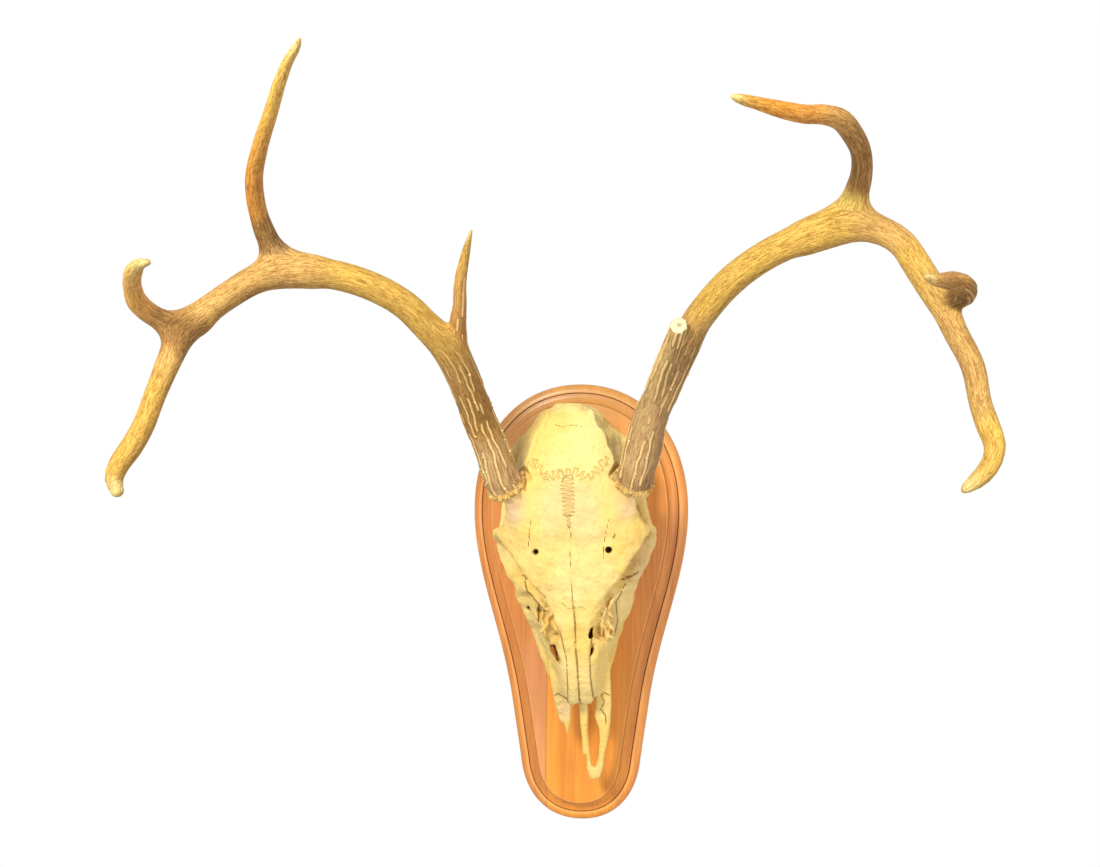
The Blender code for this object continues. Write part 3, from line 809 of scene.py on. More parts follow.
for side in (-1, 1):
    for n in range(22):
        x, s = crumple.uniform(14, 27), crumple.uniform(-66, -36)
        lie = Matrix.Rotation(crumple.uniform(-0.9, 0.9), 3, "Y")
        blade = (1.2, 5.5, crumple.uniform(3, 7))
        skull_clay.ball((side * x, -61 - 0.2 * (s + 70), s), blade, 0.8, turn=lie)
for outline in (LEFT_NASAL, RIGHT_NASAL):
    skull_clay.prism(leant(outline, CROWN), 42, tuple((s, h + 1.2) for s, h in CROWN), 0.8, edge=2.5)
groove = [(x, -np.interp(s, *zip(*CROWN)) - 1, s) for x, s in leant(CRACKS_AND_CREASE_SHADE[0][1][7:], CROWN)]
skull_clay.bar(groove, [0.5] * len(groove), 0.4, carve=True)
for outline in LEFT_SLITS + RIGHT_SLITS:
    skull_clay.prism(outline, -10, 85, 0.6, carve=True, edge=0.3, lean=(0.10, 0.14))
hollow(CHEEK_NICK[0], 48, CHEEK_NICK[1], (1.6, 8, 1.6), 0.5)
hollow(0, 30, -128, (11, 22, 22))
tip_floor = tuple((s, h - 7) for s, h in TIP_CROWN)
for outline in (LEFT_TIP, RIGHT_TIP):
    skull_clay.prism(leant(outline, TIP_CROWN), tip_floor, TIP_CROWN, 1.5, edge=2.4)
broken_cells = ((-17, -115, 3.2, 4.2), (-14.6, -121, 2.6, 4.5), (-18.6, -122, 2, 3), (-15.5, -129, 1.6, 3.5))
for x, s, wide, long in broken_cells:
    hollow(x, 42 + (s + 115) * 0.35, s, (wide, 3, long), 0.6)
hollow(0, 14, -8, (15, 22, 26), 3)
hollow(0, -2, -72, (19, 15, 46), 3)
skull_clay.field = np.maximum(skull_clay.field, skull_clay.axes[1][None, :, None] + SEAT_GAP)
for side in (-1, 1):
    place, heading = burr_frame(side)
    cuts, (x, y, z) = skull_clay.window(place - 30, place + 34)
    gaps = (x - place[0], y - place[1], z - place[2])
    rise = sum(g * n for g, n in zip(gaps, heading))
    aside = np.sqrt(np.clip(sum(g * g for g in gaps) - rise**2, 0, None))
    skull_clay.carve(cuts, np.maximum(aside - BURR_DIAMETER * 0.62, -rise - 0.3), 0.3)


def skull_matrix():
    tilt = Matrix.Rotation(math.radians(-SKULL_TILT), 4, "Y")
    return Matrix.Translation((SKULL_ASIDE, -PLAQUE_THICKNESS, SKULL_RAISED)) @ tilt


def bone_finish():
    bone = Finish("bleached_bone")
    here = bone.here()
    cloud = bone.noise(here.stretched(30, 30, 22), 4.0)
    speck = bone.noise(here.stretched(420), 3.0, 0.6)
    pores = bone.noise(here.stretched(800), 1.0)
    dents = bone.noise(here.stretched(95, 95, 70), 4.0, 0.6)
    stain = bone.noise(here.stretched(75, 75, 60), 5.0, 0.65)
    wander = bone.noise(here.stretched(330), 2.0)
    stray = bone.noise(here.stretched(170), 1.0)
    across, phase, swing = bone.attribute("seam", "Vector").split()
    swing = swing * (cloud.between(0.3, 0.7) * 0.3 + stray * 0.9 + 0.3)
    phase = phase + (stray - 0.5) * 7
    across = across + (wander - 0.5) * 4
    steep = swing * bone.attribute("seam_rate") * phase.cosine()
    gap = (across - swing * phase.sine()).abs() / (steep * steep + 1).root()
    seam = 1 - (bone.attribute("seam_gap") - swing).between(-0.2, 0.5)
    zigzag = seam * (1 - gap.between(0.15, 0.55))
    crack_and_crease_shade = 1 - (bone.attribute("crack_and_crease_shade") + (wander - 0.5) * 0.5).between(0.25, 0.75)
    colour = bone.coat(
        bone.mix(cloud.between(0.35, 0.65), (0.77, 0.53, 0.14), (0.80, 0.61, 0.24)),
        (bone.attribute("blush") * cloud.between(0.2, 0.5), (0.62, 0.43, 0.25)),
        # painted shade in the fossae and deep in the vacuities
        (bone.attribute("deep"), (0.64, 0.44, 0.15)),
        (speck.between(0.5, 0.75) * 0.4, (0.55, 0.35, 0.10)),
        ((1 - dents.between(0.36, 0.5)) * 0.22, (0.64, 0.46, 0.14)),
        (stain.between(0.52, 0.75) * 0.45, (0.62, 0.42, 0.12)),
        (seam * 0.2, (0.74, 0.52, 0.15)),
        (zigzag * 0.6, (0.50, 0.31, 0.08)),
        # dark cracks, and painted shade along the supraorbital grooves and the nasals' edges
        (crack_and_crease_shade * 0.85, (0.28, 0.15, 0.04)),
        (pores.between(0.74, 0.80) * 0.5, (0.45, 0.27, 0.08)),
        # painted shade inside the brow holes and the cheek nick
        (bone.attribute("pit"), (0.07, 0.035, 0.01)),
    )
    relief = dents * 2.0 + stain * 0.8 + speck * 0.35 - zigzag * 0.5 - crack_and_crease_shade * 0.8
    bump = bone.node("ShaderNodeBump", None, Height=relief, Distance=0.0018, Strength=0.75)
    bone.feed(Base_Color=colour, Roughness=0.6, Specular_IOR_Level=0.25, Normal=bump)
    return bone.material


def path_distance(points, x, s):
    """Distance to an open line of points, seen from the front."""
    nearest = np.full(x.shape, 1e9)
    for (ax, ay), (bx, by) in zip(points, points[1:]):
        dx, dy = bx - ax, by - ay
        t = np.clip(((x - ax) * dx + (s - ay) * dy) / (dx * dx + dy * dy), 0, 1)
        nearest = np.minimum(nearest, np.hypot(x - ax - t * dx, s - ay - t * dy))
    return nearest


def seam_places(x, s):
    """Where each corner lies by its nearest seam: across it, its phase and swing; then its rate and gap."""
    nearest = np.full(len(x), 1e9)
    found, rate = np.zeros((len(x), 3)), np.ones(len(x))
    for swing, period, points in SEAMS:
        start, turn = 0, math.tau / period
        for n, ((ax, ay), (bx, by)) in enumerate(zip(points, points[1:])):
            dx, dy = bx - ax, by - ay
            length = math.hypot(dx, dy)
            t = ((x - ax) * dx + (s - ay) * dy) / length**2
            inner = np.clip(t, 0, 1)
            gap = np.hypot(x - ax - inner * dx, s - ay - inner * dy)
            past = (n == 0) & (t < 0) | (n == len(points) - 2) & (t > 1)
            side = np.where((x - ax) * dy > (s - ay) * dx, gap, -gap)
            places = np.stack([side, (start + inner * length) * turn, np.where(past, 0, swing)], 1)
            near = gap < nearest
            nearest[near], found[near], rate[near] = gap[near], places[near], turn
            start += length
    return found, rate, nearest


def bone_marks(corners, normals):
    """What the bone's finish reads at each corner: its seams, cracks and tints, and the painted shade of its
    creases, holes and recesses.
    """
    x, h, s = corners[:, 0], -corners[:, 1], corners[:, 2]
    crown = np.interp(s, *np.array(CROWN, float).T)
    back = np.where((normals[:, 1] < -0.2) & (h > 22), 0, 9)
    seam, rate, gap = seam_places(x, s)
    gap = gap + back * 9
    crack_and_crease_shade = np.min([path_distance(points, x, s) / wide for wide, points in CRACKS_AND_CREASE_SHADE], 0) + back
    # Painted shade: the brow holes and the cheek nick are painted near black inside.
    hole = np.hypot(np.abs(x) - BROW_HOLE[0], s - BROW_HOLE[1])
    pit = np.clip((2.9 - hole) / 0.9, 0, 1) * np.clip((crown - h - 1.2) / 1.5, 0, 1)
    nick = np.hypot(x - CHEEK_NICK[0], s - CHEEK_NICK[1])
    pit = np.maximum(pit, np.clip((2.2 - nick) / 0.8, 0, 1) * (h < 52))
    blush = np.exp(-(((np.abs(x) - 41) / 9) ** 2) - ((s - 30) / 14) ** 2) * (h > 60)
    blush = np.maximum(blush, np.exp(-(((x + 16) / 5) ** 2) - ((s + 124) / 9) ** 2) * 0.9)
    cheek = np.clip((x - 36) / 10, 0, 1) * np.exp(-(((s + 14) / 22) ** 2)) * (h > 20)
    blush = np.maximum(blush, cheek * 0.6)
    blush = np.maximum(blush, np.exp(-((np.abs(x) / 24) ** 4) - ((s - 30) / 24) ** 4) * (h > 60) * 0.45)
    # Painted shade in the recesses: the temporal fossae a little darker, and the vacuities darker where they
    # sink deep below the crown.
    fossa = np.clip((np.abs(x) - 27 - 0.22 * (80 - s)) / 5, 0, 1) * np.clip((s - 58) / 6, 0, 1)
    vacuity = np.clip(1.6 - path_distance(((22, -38), (22, -62)), np.abs(x), s) / 6, 0, 1)
    deep = np.maximum(fossa * 0.25, vacuity * np.clip((crown - h - 7) / 5, 0, 1))
    seams = {"seam": seam, "seam_rate": rate, "seam_gap": gap}
    return {**seams, "crack_and_crease_shade": crack_and_crease_shade, "pit": pit, "blush": blush, "deep": deep}


def unevenness(places, seed):
    """How far grown bone swells and sinks at each place, in mm."""
    draw = np.random.default_rng(seed)
    total = np.zeros(len(places))
    for length, height in ((38, 0.5), (17, 0.3), (9, 0.2), (5, 0.1)):
        for _ in range(7):
            way = draw.normal(size=3)
            phase = draw.uniform(0, math.tau)
            total += 0.5 * height * np.sin(places @ way / np.linalg.norm(way) * math.tau / length + phase)
    return total


skull_corners, skull_faces = skull_clay.skin()
skull_mesh = mesh_of("skull_bone", skull_corners, skull_faces)
skull_normals = read_rows(skull_mesh.vertices, "normal")
swell = unevenness(skull_corners, 8) * np.clip((-skull_corners[:, 1] - 3) / 8, 0, 1)
swell *= np.clip((skull_corners[:, 2] + 112) / 50, 0.25, 1)
for side in (-1, 1):
    swell *= np.clip((np.linalg.norm(skull_corners - burr_frame(side)[0], axis=1) - 17) / 8, 0, 1)
skull_corners += swell[:, None] * skull_normals
skull_corners[:, 0] -= LEAN * (LEAN_HEIGHT + skull_corners[:, 1])
turn = np.array(skull_matrix())
placed = skull_corners * MM @ turn[:3, :3].T + turn[:3, 3]
skull_mesh.vertices.foreach_set("co", placed.astype(np.float32).ravel())
skull_mesh.update()
write_marks(skull_mesh, bone_marks(skull_corners, skull_normals))
skull_mesh.materials.append(bone_finish())
skull = add_piece("deer_skull", skull_mesh)
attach(skull, "root")
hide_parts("skull")


# The antlers: one on each pedicle, solid horn-like bone that was grown in one piece. They are brown, furrowed
# and pearled near the burr, golden and smoother above, and worn pale at the tips. The right brow tine was
# sawn off short.
BEAM_DIAMETER = 25
BURR_ROLL = 7
BURR_BEADS = 84
SAW_FACING = (0.10, -0.93, 0.36)
ANTLER_GRAIN = 0.78
PEARLS_PER_SQUARE_METRE = 60000.0
SMALLEST_PEARL = 0.4 * MM
LARGEST_PEARL = 1.05 * MM
BROWN = (0.40, 0.19, 0.06)
GREY_BROWN = (0.68, 0.47, 0.24)
UMBER = (0.55, 0.31, 0.095)
TAN = (0.61, 0.36, 0.11)
GOLD = (0.67, 0.41, 0.08)
ORANGE = (0.74, 0.29, 0.045)
PALE = (0.80, 0.62, 0.25)
LEFT_LIMBS = (
    (  # beam
        ((-9.8, 16, 31, 24.2), (-15, 24, 46, 23.6), (-20.5, 44, 69, 23), (-27, 64, 91, 23),
         (-33, 75, 102, 22), (-41, 84, 111, 20.4), (-55, 98, 126, 19.3), (-74, 110, 137, 19.2),
         (-95, 120, 143.5, 19.4), (-118, 128, 145.5, 20), (-131, 132, 144, 20), (-143, 136, 140.5, 19),
         (-160, 141, 130, 17.8), (-178, 147, 115.5, 18), (-187, 152, 106, 18), (-190.5, 156, 97, 17),
         (-194, 160, 86, 15.8), (-200.5, 167, 64, 13.8), (-208, 172, 41, 14), (-214, 174, 30, 14.3),
         (-220.5, 176, 20, 13.2), (-223.5, 177, 11, 11.4), (-221, 178, 3.5, 8.5)),
        ((0, GREY_BROWN), (36, GREY_BROWN), (54, UMBER), (115, UMBER), (145, GOLD), (221, GOLD), (245, TAN),
         (272, UMBER), (292, UMBER), (316, TAN), (332, BROWN), (347, BROWN), (356, TAN), (377, GOLD),
         (436, GOLD), (444, PALE)),
        (17, 0.8, 8, 135),
    ),
    (  # brow
        ((-25, 54, 80, 12), (-24, 67, 99, 13), (-21.5, 80, 115, 11), (-18.5, 90, 127, 9),
         (-16.2, 100, 138, 8.3), (-8, 120, 160.5, 5), (-3.6, 129, 170, 2)),
        ((0, (0.82, 0.49, 0.15)), (23, (0.84, 0.49, 0.15)), (45, (0.68, 0.38, 0.13)),
         (74, (0.88, 0.52, 0.17)), (105, GOLD), (119, PALE)),
        (9, 0.6, 5, 110),
    ),
    (  # second
        ((-112, 127, 146, 8), (-124, 131, 150.5, 12), (-132, 136, 158.5, 14), (-136, 143, 168.5, 13.5),
         (-137, 152, 178, 12.2), (-134, 172, 197, 11.4), (-122.5, 195, 214.3, 10), (-108.5, 218, 229.5, 8.6),
         (-94.5, 242, 244, 7.3), (-86.5, 254, 251, 6), (-78, 264, 257.5, 4), (-76, 267, 259.5, 2)),
        ((0, (0.46, 0.27, 0.11)), (20, (0.40, 0.23, 0.10)), (34, (0.24, 0.12, 0.045)),
         (48, (0.28, 0.13, 0.045)), (58, ORANGE), (82, ORANGE), (110, (0.82, 0.39, 0.075)),
         (145, (0.94, 0.54, 0.10)), (188, (0.95, 0.63, 0.16)), (204, PALE)),
        (6, 0.25, 16, 150),
    ),
    (  # third
        ((-180, 148, 112, 9), (-192, 154, 109.5, 13), (-203, 166, 115, 13.5), (-206.5, 180, 121.7, 13.1),
         (-203, 197, 130, 11.4), (-192.5, 219, 137.3, 10.3), (-184, 231, 139.5, 7), (-176, 239, 139.5, 4)),
        ((0, UMBER), (13, (0.54, 0.27, 0.09)), (32, (0.58, 0.30, 0.10)), (44, (1.0, 0.50, 0.13)),
         (80, (1.0, 0.53, 0.14)), (100, (0.88, 0.60, 0.18)), (112, PALE)),
        (5, 0.2, 13, 100),
    ),
)
RIGHT_LIMBS = (
    (  # beam
        ((9.5, 16, 30, 26), (13.4, 24, 46, 24.6), (25.2, 38, 69, 22), (37.5, 56, 92.5, 20.8),
         (48.7, 74, 113, 20), (55.3, 81, 121, 19.8), (70.7, 94, 136.3, 19.5), (89, 105, 148.8, 19.3),
         (110, 115, 158.5, 19.8), (121, 119, 162.5, 20.5), (133, 123, 165.5, 20.5), (145, 127, 166.5, 20),
         (156, 131, 164.5, 18.6), (166.5, 135, 160, 17.4), (175.5, 139, 152.6, 17), (182, 142, 142, 17.4),
         (188, 146, 131, 17.4), (194, 150, 120, 17), (199.5, 154, 109.5, 16), (203.5, 159, 98.4, 14.8),
         (213, 166, 76.4, 14), (217.4, 170, 52.3, 13.3), (221, 173, 40, 13.8), (224, 176, 30, 12.6),
         (222.5, 178, 20.8, 11.6), (217, 178, 12, 10.8), (209, 178, 5.3, 7.4), (206.5, 178, 3.3, 4.5)),
        ((0, (0.52, 0.33, 0.17)), (20, GREY_BROWN), (83, GREY_BROWN), (115, (0.50, 0.31, 0.16)), (144, TAN),
         (160, GOLD), (270, GOLD), (288, TAN), (306, TAN), (319, GOLD), (371, TAN), (396, UMBER), (425, TAN),
         (440, (0.73, 0.45, 0.08)), (464, GOLD), (478, PALE)),
        (13, 0.9, 8, 135),
    ),
    (  # brow
        ((12, 26, 46, 14), (23.5, 56, 79, 13.4), (31, 74, 95, 11.8), (36.5, 89, 108, 10.8)),
        ((0, (0.66, 0.48, 0.22)), (46, (0.76, 0.57, 0.27)), (91, (0.76, 0.56, 0.26))),
        (9, 0.95, 3, 300),
    ),
    (  # second
        ((120, 119, 160, 8), (135, 124.5, 167.5, 13), (144, 131, 177, 15.5), (148, 140, 187, 15),
         (149.7, 152, 196, 13), (147.8, 165, 205.8, 12.5), (141.8, 178, 213.7, 13),
         (134.6, 190, 219.2, 12.8), (124, 202, 220.2, 11.6), (112.4, 214, 218.2, 10.8),
         (103, 222, 218.4, 10.2), (83.7, 238, 220.3, 7), (75, 246, 221, 5.4), (71.5, 249, 221.4, 2.6)),
        ((0, (0.74, 0.50, 0.12)), (42, (0.80, 0.58, 0.15)), (53, (0.29, 0.13, 0.04)),
         (78, (0.29, 0.13, 0.045)), (100, (0.46, 0.24, 0.09)), (122, (0.74, 0.38, 0.11)),
         (140, (0.84, 0.36, 0.06)), (165, (0.88, 0.33, 0.035)), (185, (0.88, 0.44, 0.07)), (195, PALE)),
        (6, 0.25, 16, 150),
    ),
    (  # third
        ((198, 152, 115, 10), (205.5, 163, 117, 13), (207.5, 176, 119.5, 13.5), (204, 188, 122.5, 12.5),
         (197, 198, 123.5, 11.5), (190, 209, 123, 9), (184, 218, 122.5, 6.5), (179.5, 222, 124, 4.5)),
        # the dark stretch from 12 to 34 mm is painted shade under the tine's lobe
        ((0, UMBER), (12, (0.16, 0.08, 0.03)), (34, (0.22, 0.11, 0.035)), (46, (0.50, 0.24, 0.07)),
         (72, (0.56, 0.28, 0.08)), (84, PALE)),
        (6, 0.3, 5, 100),
    ),
)


class Limb:
    """A branch of an antler. It reads a point's place on it: the length along it and the angle round it."""

    def __init__(self, rows, zones, ridges, draw):
        path = smooth_path([(x, -out, z, thick / 2) for x, out, z, thick in rows], 4)
        self.places, self.radii = path[:, :3], path[:, 3]
        steps = np.diff(self.places, axis=0)
        self.lengths = np.linalg.norm(steps, axis=1)
        self.ways = steps / self.lengths[:, None]
        self.starts = np.concatenate([[0], np.cumsum(self.lengths)])
        self.zones = zones
        self.sides = []
        side = np.array((0.3, 0.9, 0.2))
        for way in self.ways:
            side = side - way * (side @ way)
            side = side / np.linalg.norm(side)
            self.sides.append(side)
        count, self.height, self.fillet, self.fade = ridges
        end = self.starts[-1]
        self.ridges = []
        for n in range(count):
            start = 4 if n % 3 else draw.uniform(0.08, 0.3) * end
            reach = draw.uniform(0.22, 0.6) * max(end, self.fade)
            turn = 2 * math.pi * (n + draw.uniform(-0.25, 0.25)) / count
            self.ridges.append((turn, start, start + reach, draw.uniform(0, 6.28, 4)))

    def read(self, points):
        """Each point's gap to the limb, length along it, angle round it, and the limb's radius there."""
        gap = np.full(len(points), 1e9)
        along, angle, radius = np.zeros((3, len(points)))
        for n, (way, side) in enumerate(zip(self.ways, self.sides)):
            off = points - self.places[n]
            t = np.clip(off @ way, 0, self.lengths[n])
            away = off - t[:, None] * way
            size = self.radii[n] + (self.radii[n + 1] - self.radii[n]) * t / self.lengths[n]
            found = np.linalg.norm(away, axis=1) - size
            near = found < gap
            gap[near] = found[near]
            along[near] = self.starts[n] + t[near]
            radius[near] = size[near]
            angle[near] = np.arctan2(away[near] @ np.cross(way, side), away[near] @ side)
        return gap, along, angle, radius

    def ridge_gap(self, along, angle, radius):
        """How far each place is from the nearest ridge, in mm, with faint ridges counted as further."""
        nearest = np.full(len(along), 9.0)
        for turn, start, end, phases in self.ridges:
            line = turn + 0.10 * np.sin(along / 31 + phases[0]) + 0.045 * np.sin(along / 7.1 + phases[1])
            line += 0.02 * np.sin(along / 2.3 + phases[2])
            off = np.abs((angle - line + math.pi) % (2 * math.pi) - math.pi) * radius
            fade = np.clip(np.maximum(start - along, along - end) / 8, 0, 1)
            broken = np.sin(along / 9.7 + phases[3]) + 0.6 * np.sin(along / 4.1 + phases[1])
            nearest = np.minimum(nearest, off + 3 * fade + 2.5 * np.clip(broken - 0.5, 0, 1))
        return nearest

    def colour(self, along):
        lengths, tints = zip(*self.zones)
        return np.stack([np.interp(along, lengths, one) for one in zip(*tints)], 1)


def grow(specs, side, seed):
    """An antler's mesh, in mm from the middle of its burr, with what its finish reads at each corner."""
    draw = np.random.default_rng(seed)
    heading = np.array(skull_matrix().to_3x3() @ Vector(burr_frame(side)[1]))
    across = np.cross(heading, (0, 1, 0))
    across = across / np.linalg.norm(across)
    over = np.cross(heading, across)
    swells = ((-2, 1.10), (10, 1.02))
    foot = [(*(heading * rise * (1, -1, 1)), BEAM_DIAMETER * swell) for rise, swell in swells]
    limbs = []
    for n, (rows, zones, ridges) in enumerate(specs):
        limbs.append(Limb([*foot, *rows] if n == 0 else rows, zones, ridges, draw))
    places = np.concatenate([limb.places for limb in limbs])
    clay = Clay(places.min(0) - 20, places.max(0) + 20, ANTLER_GRAIN)
    sawn = (limbs[1].places[-1], np.array(SAW_FACING)) if side > 0 else None
    for n, limb in enumerate(limbs):
        cuts, shape = clay.bar_shape(limb.places, limb.radii, limb.fillet + 3)
        if sawn and n == 1:
            x, y, z = (axis[cut] - middle for axis, cut, middle in zip(clay.axes, cuts, sawn[0]))
            x, y, z = (axis * part for axis, part in zip((x, y, z), sawn[1]))
            shape = np.maximum(shape, x[:, None, None] + y[None, :, None] + z[None, None, :])
        clay.add(cuts, shape, limb.fillet)
    major = (BURR_DIAMETER - BURR_ROLL) / 2
    ring = [math.tau * n / 40 for n in range(41)]
    round_burr = [heading * 1.7 + (across * math.cos(a) + over * math.sin(a)) * major for a in ring]
    clay.bar(round_burr, [1.7] * len(ring), 1.5)
    for n in range(BURR_BEADS):
        a = math.tau * (n + draw.uniform(-0.3, 0.3)) / BURR_BEADS
        size = draw.uniform(0.9, 1.6)
        out = BURR_DIAMETER / 2 + draw.uniform(-2.0, 0.2)
        rise = draw.uniform(0.9, 1.8) if n % 2 else draw.uniform(2.2, 4.0)
        place = heading * rise + (across * math.cos(a) + over * math.sin(a)) * out
        clay.ball(place, (size, size, size), 0.5)
    cuts, (x, y, z) = clay.window((-30, -30, -30), (30, 30, 30))
    clay.carve(cuts, x * heading[0] + y * heading[1] + z * heading[2], 0.3)
    corners, faces = clay.skin()
    mesh = mesh_of("antler", corners, faces)
    normals = read_rows(mesh.vertices, "normal")
    reads = [limb.read(corners) for limb in limbs]
    gaps = np.array([read[0] for read in reads])
    for n, limb in enumerate(limbs[1:], 1):
        gaps[n] += np.clip(0.65 * (limb.fillet - 3) - gaps[0], 0, 6) * 1.5
    weights = np.exp(-(gaps - gaps.min(0)) / 1.6)
    weights /= weights.sum(0)
    tint = sum(w[:, None] * limb.colour(read[1]) for w, limb, read in zip(weights, limbs, reads))
    flows = [np.stack([radius * np.cos(angle), radius * np.sin(angle), along + 300 * n], 1)
             for n, (_, along, angle, radius) in enumerate(reads)]
    nearest = gaps[1:].argmin(0)
    tine_flow = np.choose(nearest[:, None], flows[1:])
    ridge = sum(w * limb.ridge_gap(*read[1:]) for w, limb, read in zip(weights, limbs, reads))
    height = sum(w * limb.height * np.clip(1.3 - read[1] / limb.fade, 0.1, 1)
                 for w, limb, read in zip(weights, limbs, reads))
    furrow = sum(
        w * sum(np.cos(k * angle + along / (9 + 3 * k) + k) / k**0.5 for k in (5, 8, 13))
        for w, (_, along, angle, _) in zip(weights, reads)
    )
    rise = corners @ heading
    away = np.linalg.norm(corners - rise[:, None] * heading, axis=1)
    burr = np.clip((5.2 - rise) / 1.5, 0, 1) * np.clip((away - 11.5) / 1.5, 0, 1)
    coarse = np.clip((30 - rise) / 14, 0, 1)
    grooves = np.cos(17 * reads[0][2] + 1.5 * np.sin(reads[0][1] / 6)) * 0.35 * coarse
    raised = height * (np.exp(-((ridge / 0.8) ** 2)) - 0.2)
    raised += furrow * 0.10 * np.clip(height * 2, 0, 1) + grooves
    saw = np.full(len(corners), -9.0)
    saw_place = np.zeros((len(corners), 3))
    if sawn:
        end, way = sawn
        close = (np.linalg.norm(corners - end, axis=1) < 8) & (gaps[1] < gaps[0])
        saw[close] = ((corners - end) @ way)[close]
        raised *= np.clip(-saw / 1.5, 0, 1) ** 0.5
        saw_place = corners - end
    raised *= 1 - burr
    corners = corners + normals * raised[:, None]
    # Painted shade: undersides and right-facing sides are tinted dark brown, less where the zone colour is
    # bright.
    shade_below_and_right = np.clip(-normals[:, 2] * 0.7 + normals[:, 0] * 0.75 - 0.35, 0, 0.6)[:, None] * 1.6
    shade_below_and_right = shade_below_and_right * np.clip((0.8 - tint[:, :1]) / 0.35, 0.5, 1)
    tint = tint * (1 - shade_below_and_right) + shade_below_and_right * np.array((0.20, 0.085, 0.03))
    tint = tint * (1 - burr[:, None]) + burr[:, None] * np.array((0.86, 0.62, 0.20))
    pearl = np.clip(1.2 - rise / 90, 0, 1) * np.clip(rise / 6 - 0.5, 0, 1) * np.clip(1.2 - ridge, 0, 1)
    return mesh, corners, {
        "flow": flows[0],
        "tine_flow": tine_flow,
        "tine": 1 - weights[0],
        "horn": np.hstack([tint, np.ones((len(tint), 1))]),
        "ridge": np.maximum(ridge, burr * 3),
        "height": height,
        "saw": saw,
        "saw_place": saw_place,
        "pearl": pearl,
    }


def horn_finish():
    horn = Finish("antler_horn")
    zone = horn.attribute("horn", "Color")
    height = horn.attribute("height")
    tine = horn.attribute("tine").between(0.3, 0.7)
    fibres, streaks, pits, lines = pairs = [], [], [], []
    for name in ("flow", "tine_flow"):
        flow = horn.attribute(name, "Vector")
        fibres.append(horn.noise(flow.stretched(2.0, 2.0, 0.17), 4.0, 0.65))
        streaks.append(horn.noise(flow.stretched(0.6, 0.6, 0.055), 3.0, 0.6))
        pits.append(horn.noise(flow.stretched(1.3, 1.3, 0.6), 2.0, 0.6))
        wide = (horn.noise(flow.stretched(0.42, 0.42, 0.05), 2.0, 0.6) - 0.5).abs().between(0.008, 0.035)
        thin = (horn.noise(flow.stretched(0.8, 0.8, 0.09), 2.0, 0.6) - 0.47).abs().between(0.008, 0.04)
        lines.append(1 - wide * thin)
    fibre, streak, pit, line = (beam * (1 - tine) + branch * tine for beam, branch in pairs)
    ridge = 1 - horn.attribute("ridge").between(0.25, 0.95)
    dark = horn.mix(1.0, zone, (0.48, 0.34, 0.22), "MULTIPLY")
    light = horn.mix(0.16, zone, (1.0, 0.66, 0.14), "SCREEN")
    grain = fibre * 0.55 + streak * 0.2 + pit * 0.25
    rough = height.between(0.08, 0.6)
    valley = (1 - grain.between(0.40, 0.56)) * (0.5 + rough * 0.35) + line * (0.5 - rough * 0.2)
    # Painted shade: a dark line along each side of the ridges.
    beside = horn.attribute("ridge").near(1.5, 0.15, 0.6)
    sawn = horn.attribute("saw").between(-0.9, -0.6)
    spot = horn.attribute("saw_place", "Vector")
    marrow = horn.noise(spot.stretched(0.9), 3.0)
    core = 1 - horn.node("ShaderNodeVectorMath", {"operation": "LENGTH"}, "Value", i0=spot).between(1.0, 2.4)
    cut = horn.mix(core * 0.7 + marrow.between(0.5, 0.62) * 0.6, (0.70, 0.64, 0.40), (0.28, 0.22, 0.12))
    colour = horn.coat(
        horn.mix(valley, light, dark),
        ((1 - ridge) * rough * 0.3, dark),
        (pit.between(0.56, 0.68) * rough * 0.4, (0.17, 0.085, 0.035)),
        # painted shade beside the ridges
        (beside * rough * 0.35, (0.16, 0.075, 0.025)),
        (ridge * rough * 0.8, (0.90, 0.64, 0.26)),
        (sawn, cut),
    )
    relief = fibre * 0.5 + streak * 0.4 + pit * 0.3 - line * 0.3
    bump = horn.node("ShaderNodeBump", None, Height=relief * (1 - sawn), Distance=0.0011, Strength=0.6)
    horn.feed(Base_Color=colour, Roughness=0.5 + fibre * 0.2, Specular_IOR_Level=0.2, Normal=bump)
    return horn.material


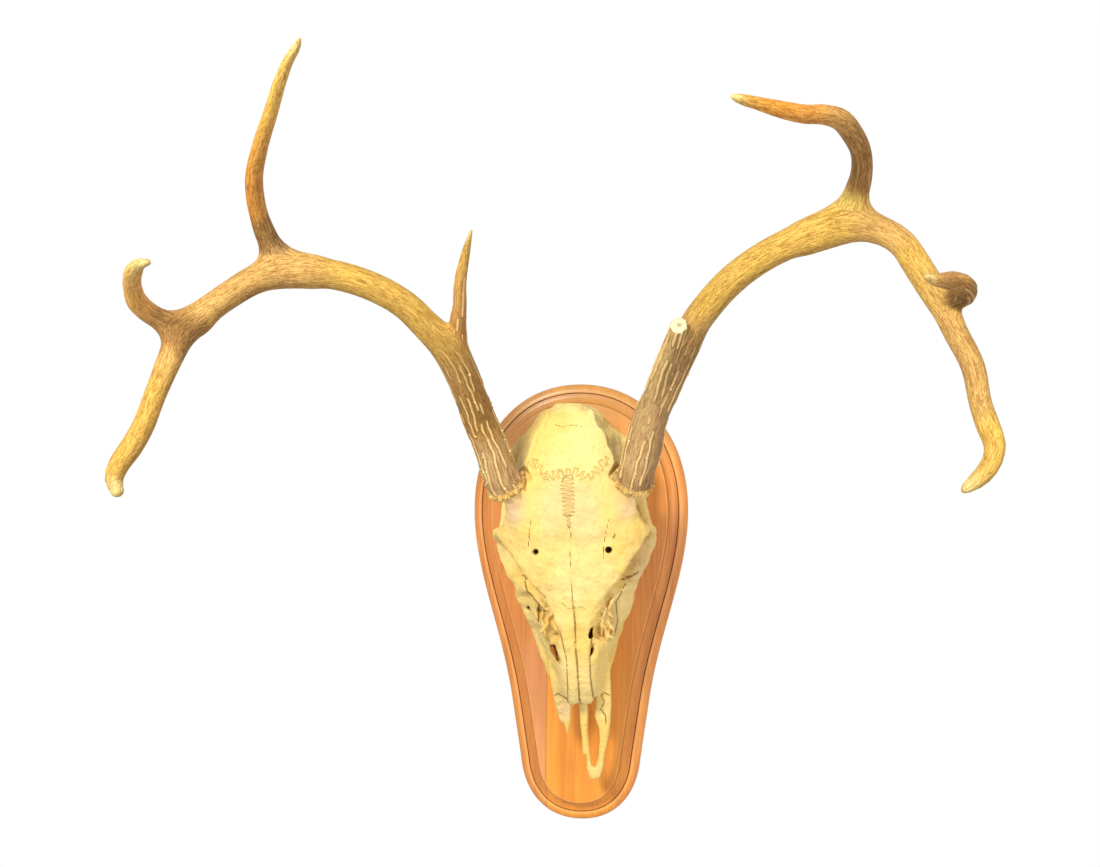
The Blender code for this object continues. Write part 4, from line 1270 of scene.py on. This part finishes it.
def pearl_finish():
    pearl = Finish("antler_pearls")
    here = pearl.here()
    cloud = pearl.noise(here.stretched(300), 2.0)
    colour = pearl.mix(cloud.between(0.35, 0.65), (0.62, 0.40, 0.15), (0.84, 0.62, 0.27))
    pearl.feed(Base_Color=colour, Roughness=0.42)
    return pearl.material


def pearl_tree():
    """Sows small round beads over an antler, thickest where its pearl attribute is high."""
    wiring, (antler, rate, smallest, largest, seed, horn) = begin_tree(
        "sown_pearls",
        Per_Square_Metre="Float", Smallest="Float", Largest="Float", Seed="Int", Horn="Material",
    )
    thick = wiring.node("GeometryNodeInputNamedAttribute", {"data_type": "FLOAT"}, "Attribute", Name="pearl")
    points = wiring.node(
        "GeometryNodeDistributePointsOnFaces", None, "Points", Mesh=antler, Density=thick * rate, Seed=seed
    )
    ball = wiring.node("GeometryNodeMeshUVSphere", None, "Mesh", Segments=8, Rings=5, Radius=1.0)
    bead = wiring.node("GeometryNodeSetShadeSmooth", Geometry=ball)
    as_number = {"data_type": "FLOAT"}
    size = wiring.node("FunctionNodeRandomValue", as_number, 1, i2=smallest, i3=largest, Seed=seed)
    turn = points.beside("Rotation")
    beads = wiring.node(
        "GeometryNodeInstanceOnPoints", Points=points, Instance=bead, Rotation=turn, Scale=size
    )
    return end_tree(wiring, beads, horn)


horn_material = horn_finish()
pearl_material = pearl_finish()
sown = pearl_tree()
for side, word, specs, seed in ((-1, "left", LEFT_LIMBS, 5), (1, "right", RIGHT_LIMBS, 11)):
    mesh, corners, marks = grow(specs, side, seed)
    burr = np.array(skull_matrix() @ Vector(burr_frame(side)[0] * MM))
    mesh.vertices.foreach_set("co", (corners * MM + burr).astype(np.float32).ravel())
    mesh.update()
    write_marks(mesh, marks)
    antler = add_piece(f"{word}_antler", mesh)
    pearls = run_tree(
        antler, sown, Per_Square_Metre=PEARLS_PER_SQUARE_METRE,
        Smallest=SMALLEST_PEARL, Largest=LARGEST_PEARL, Seed=seed, Horn=pearl_material,
    )
    mesh.materials.append(horn_material)
    beads = add_piece(f"{word}_antler_pearls", pearls)
    for piece in (antler, beads):
        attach(piece, "root")
    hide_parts(f"antler_{word}")
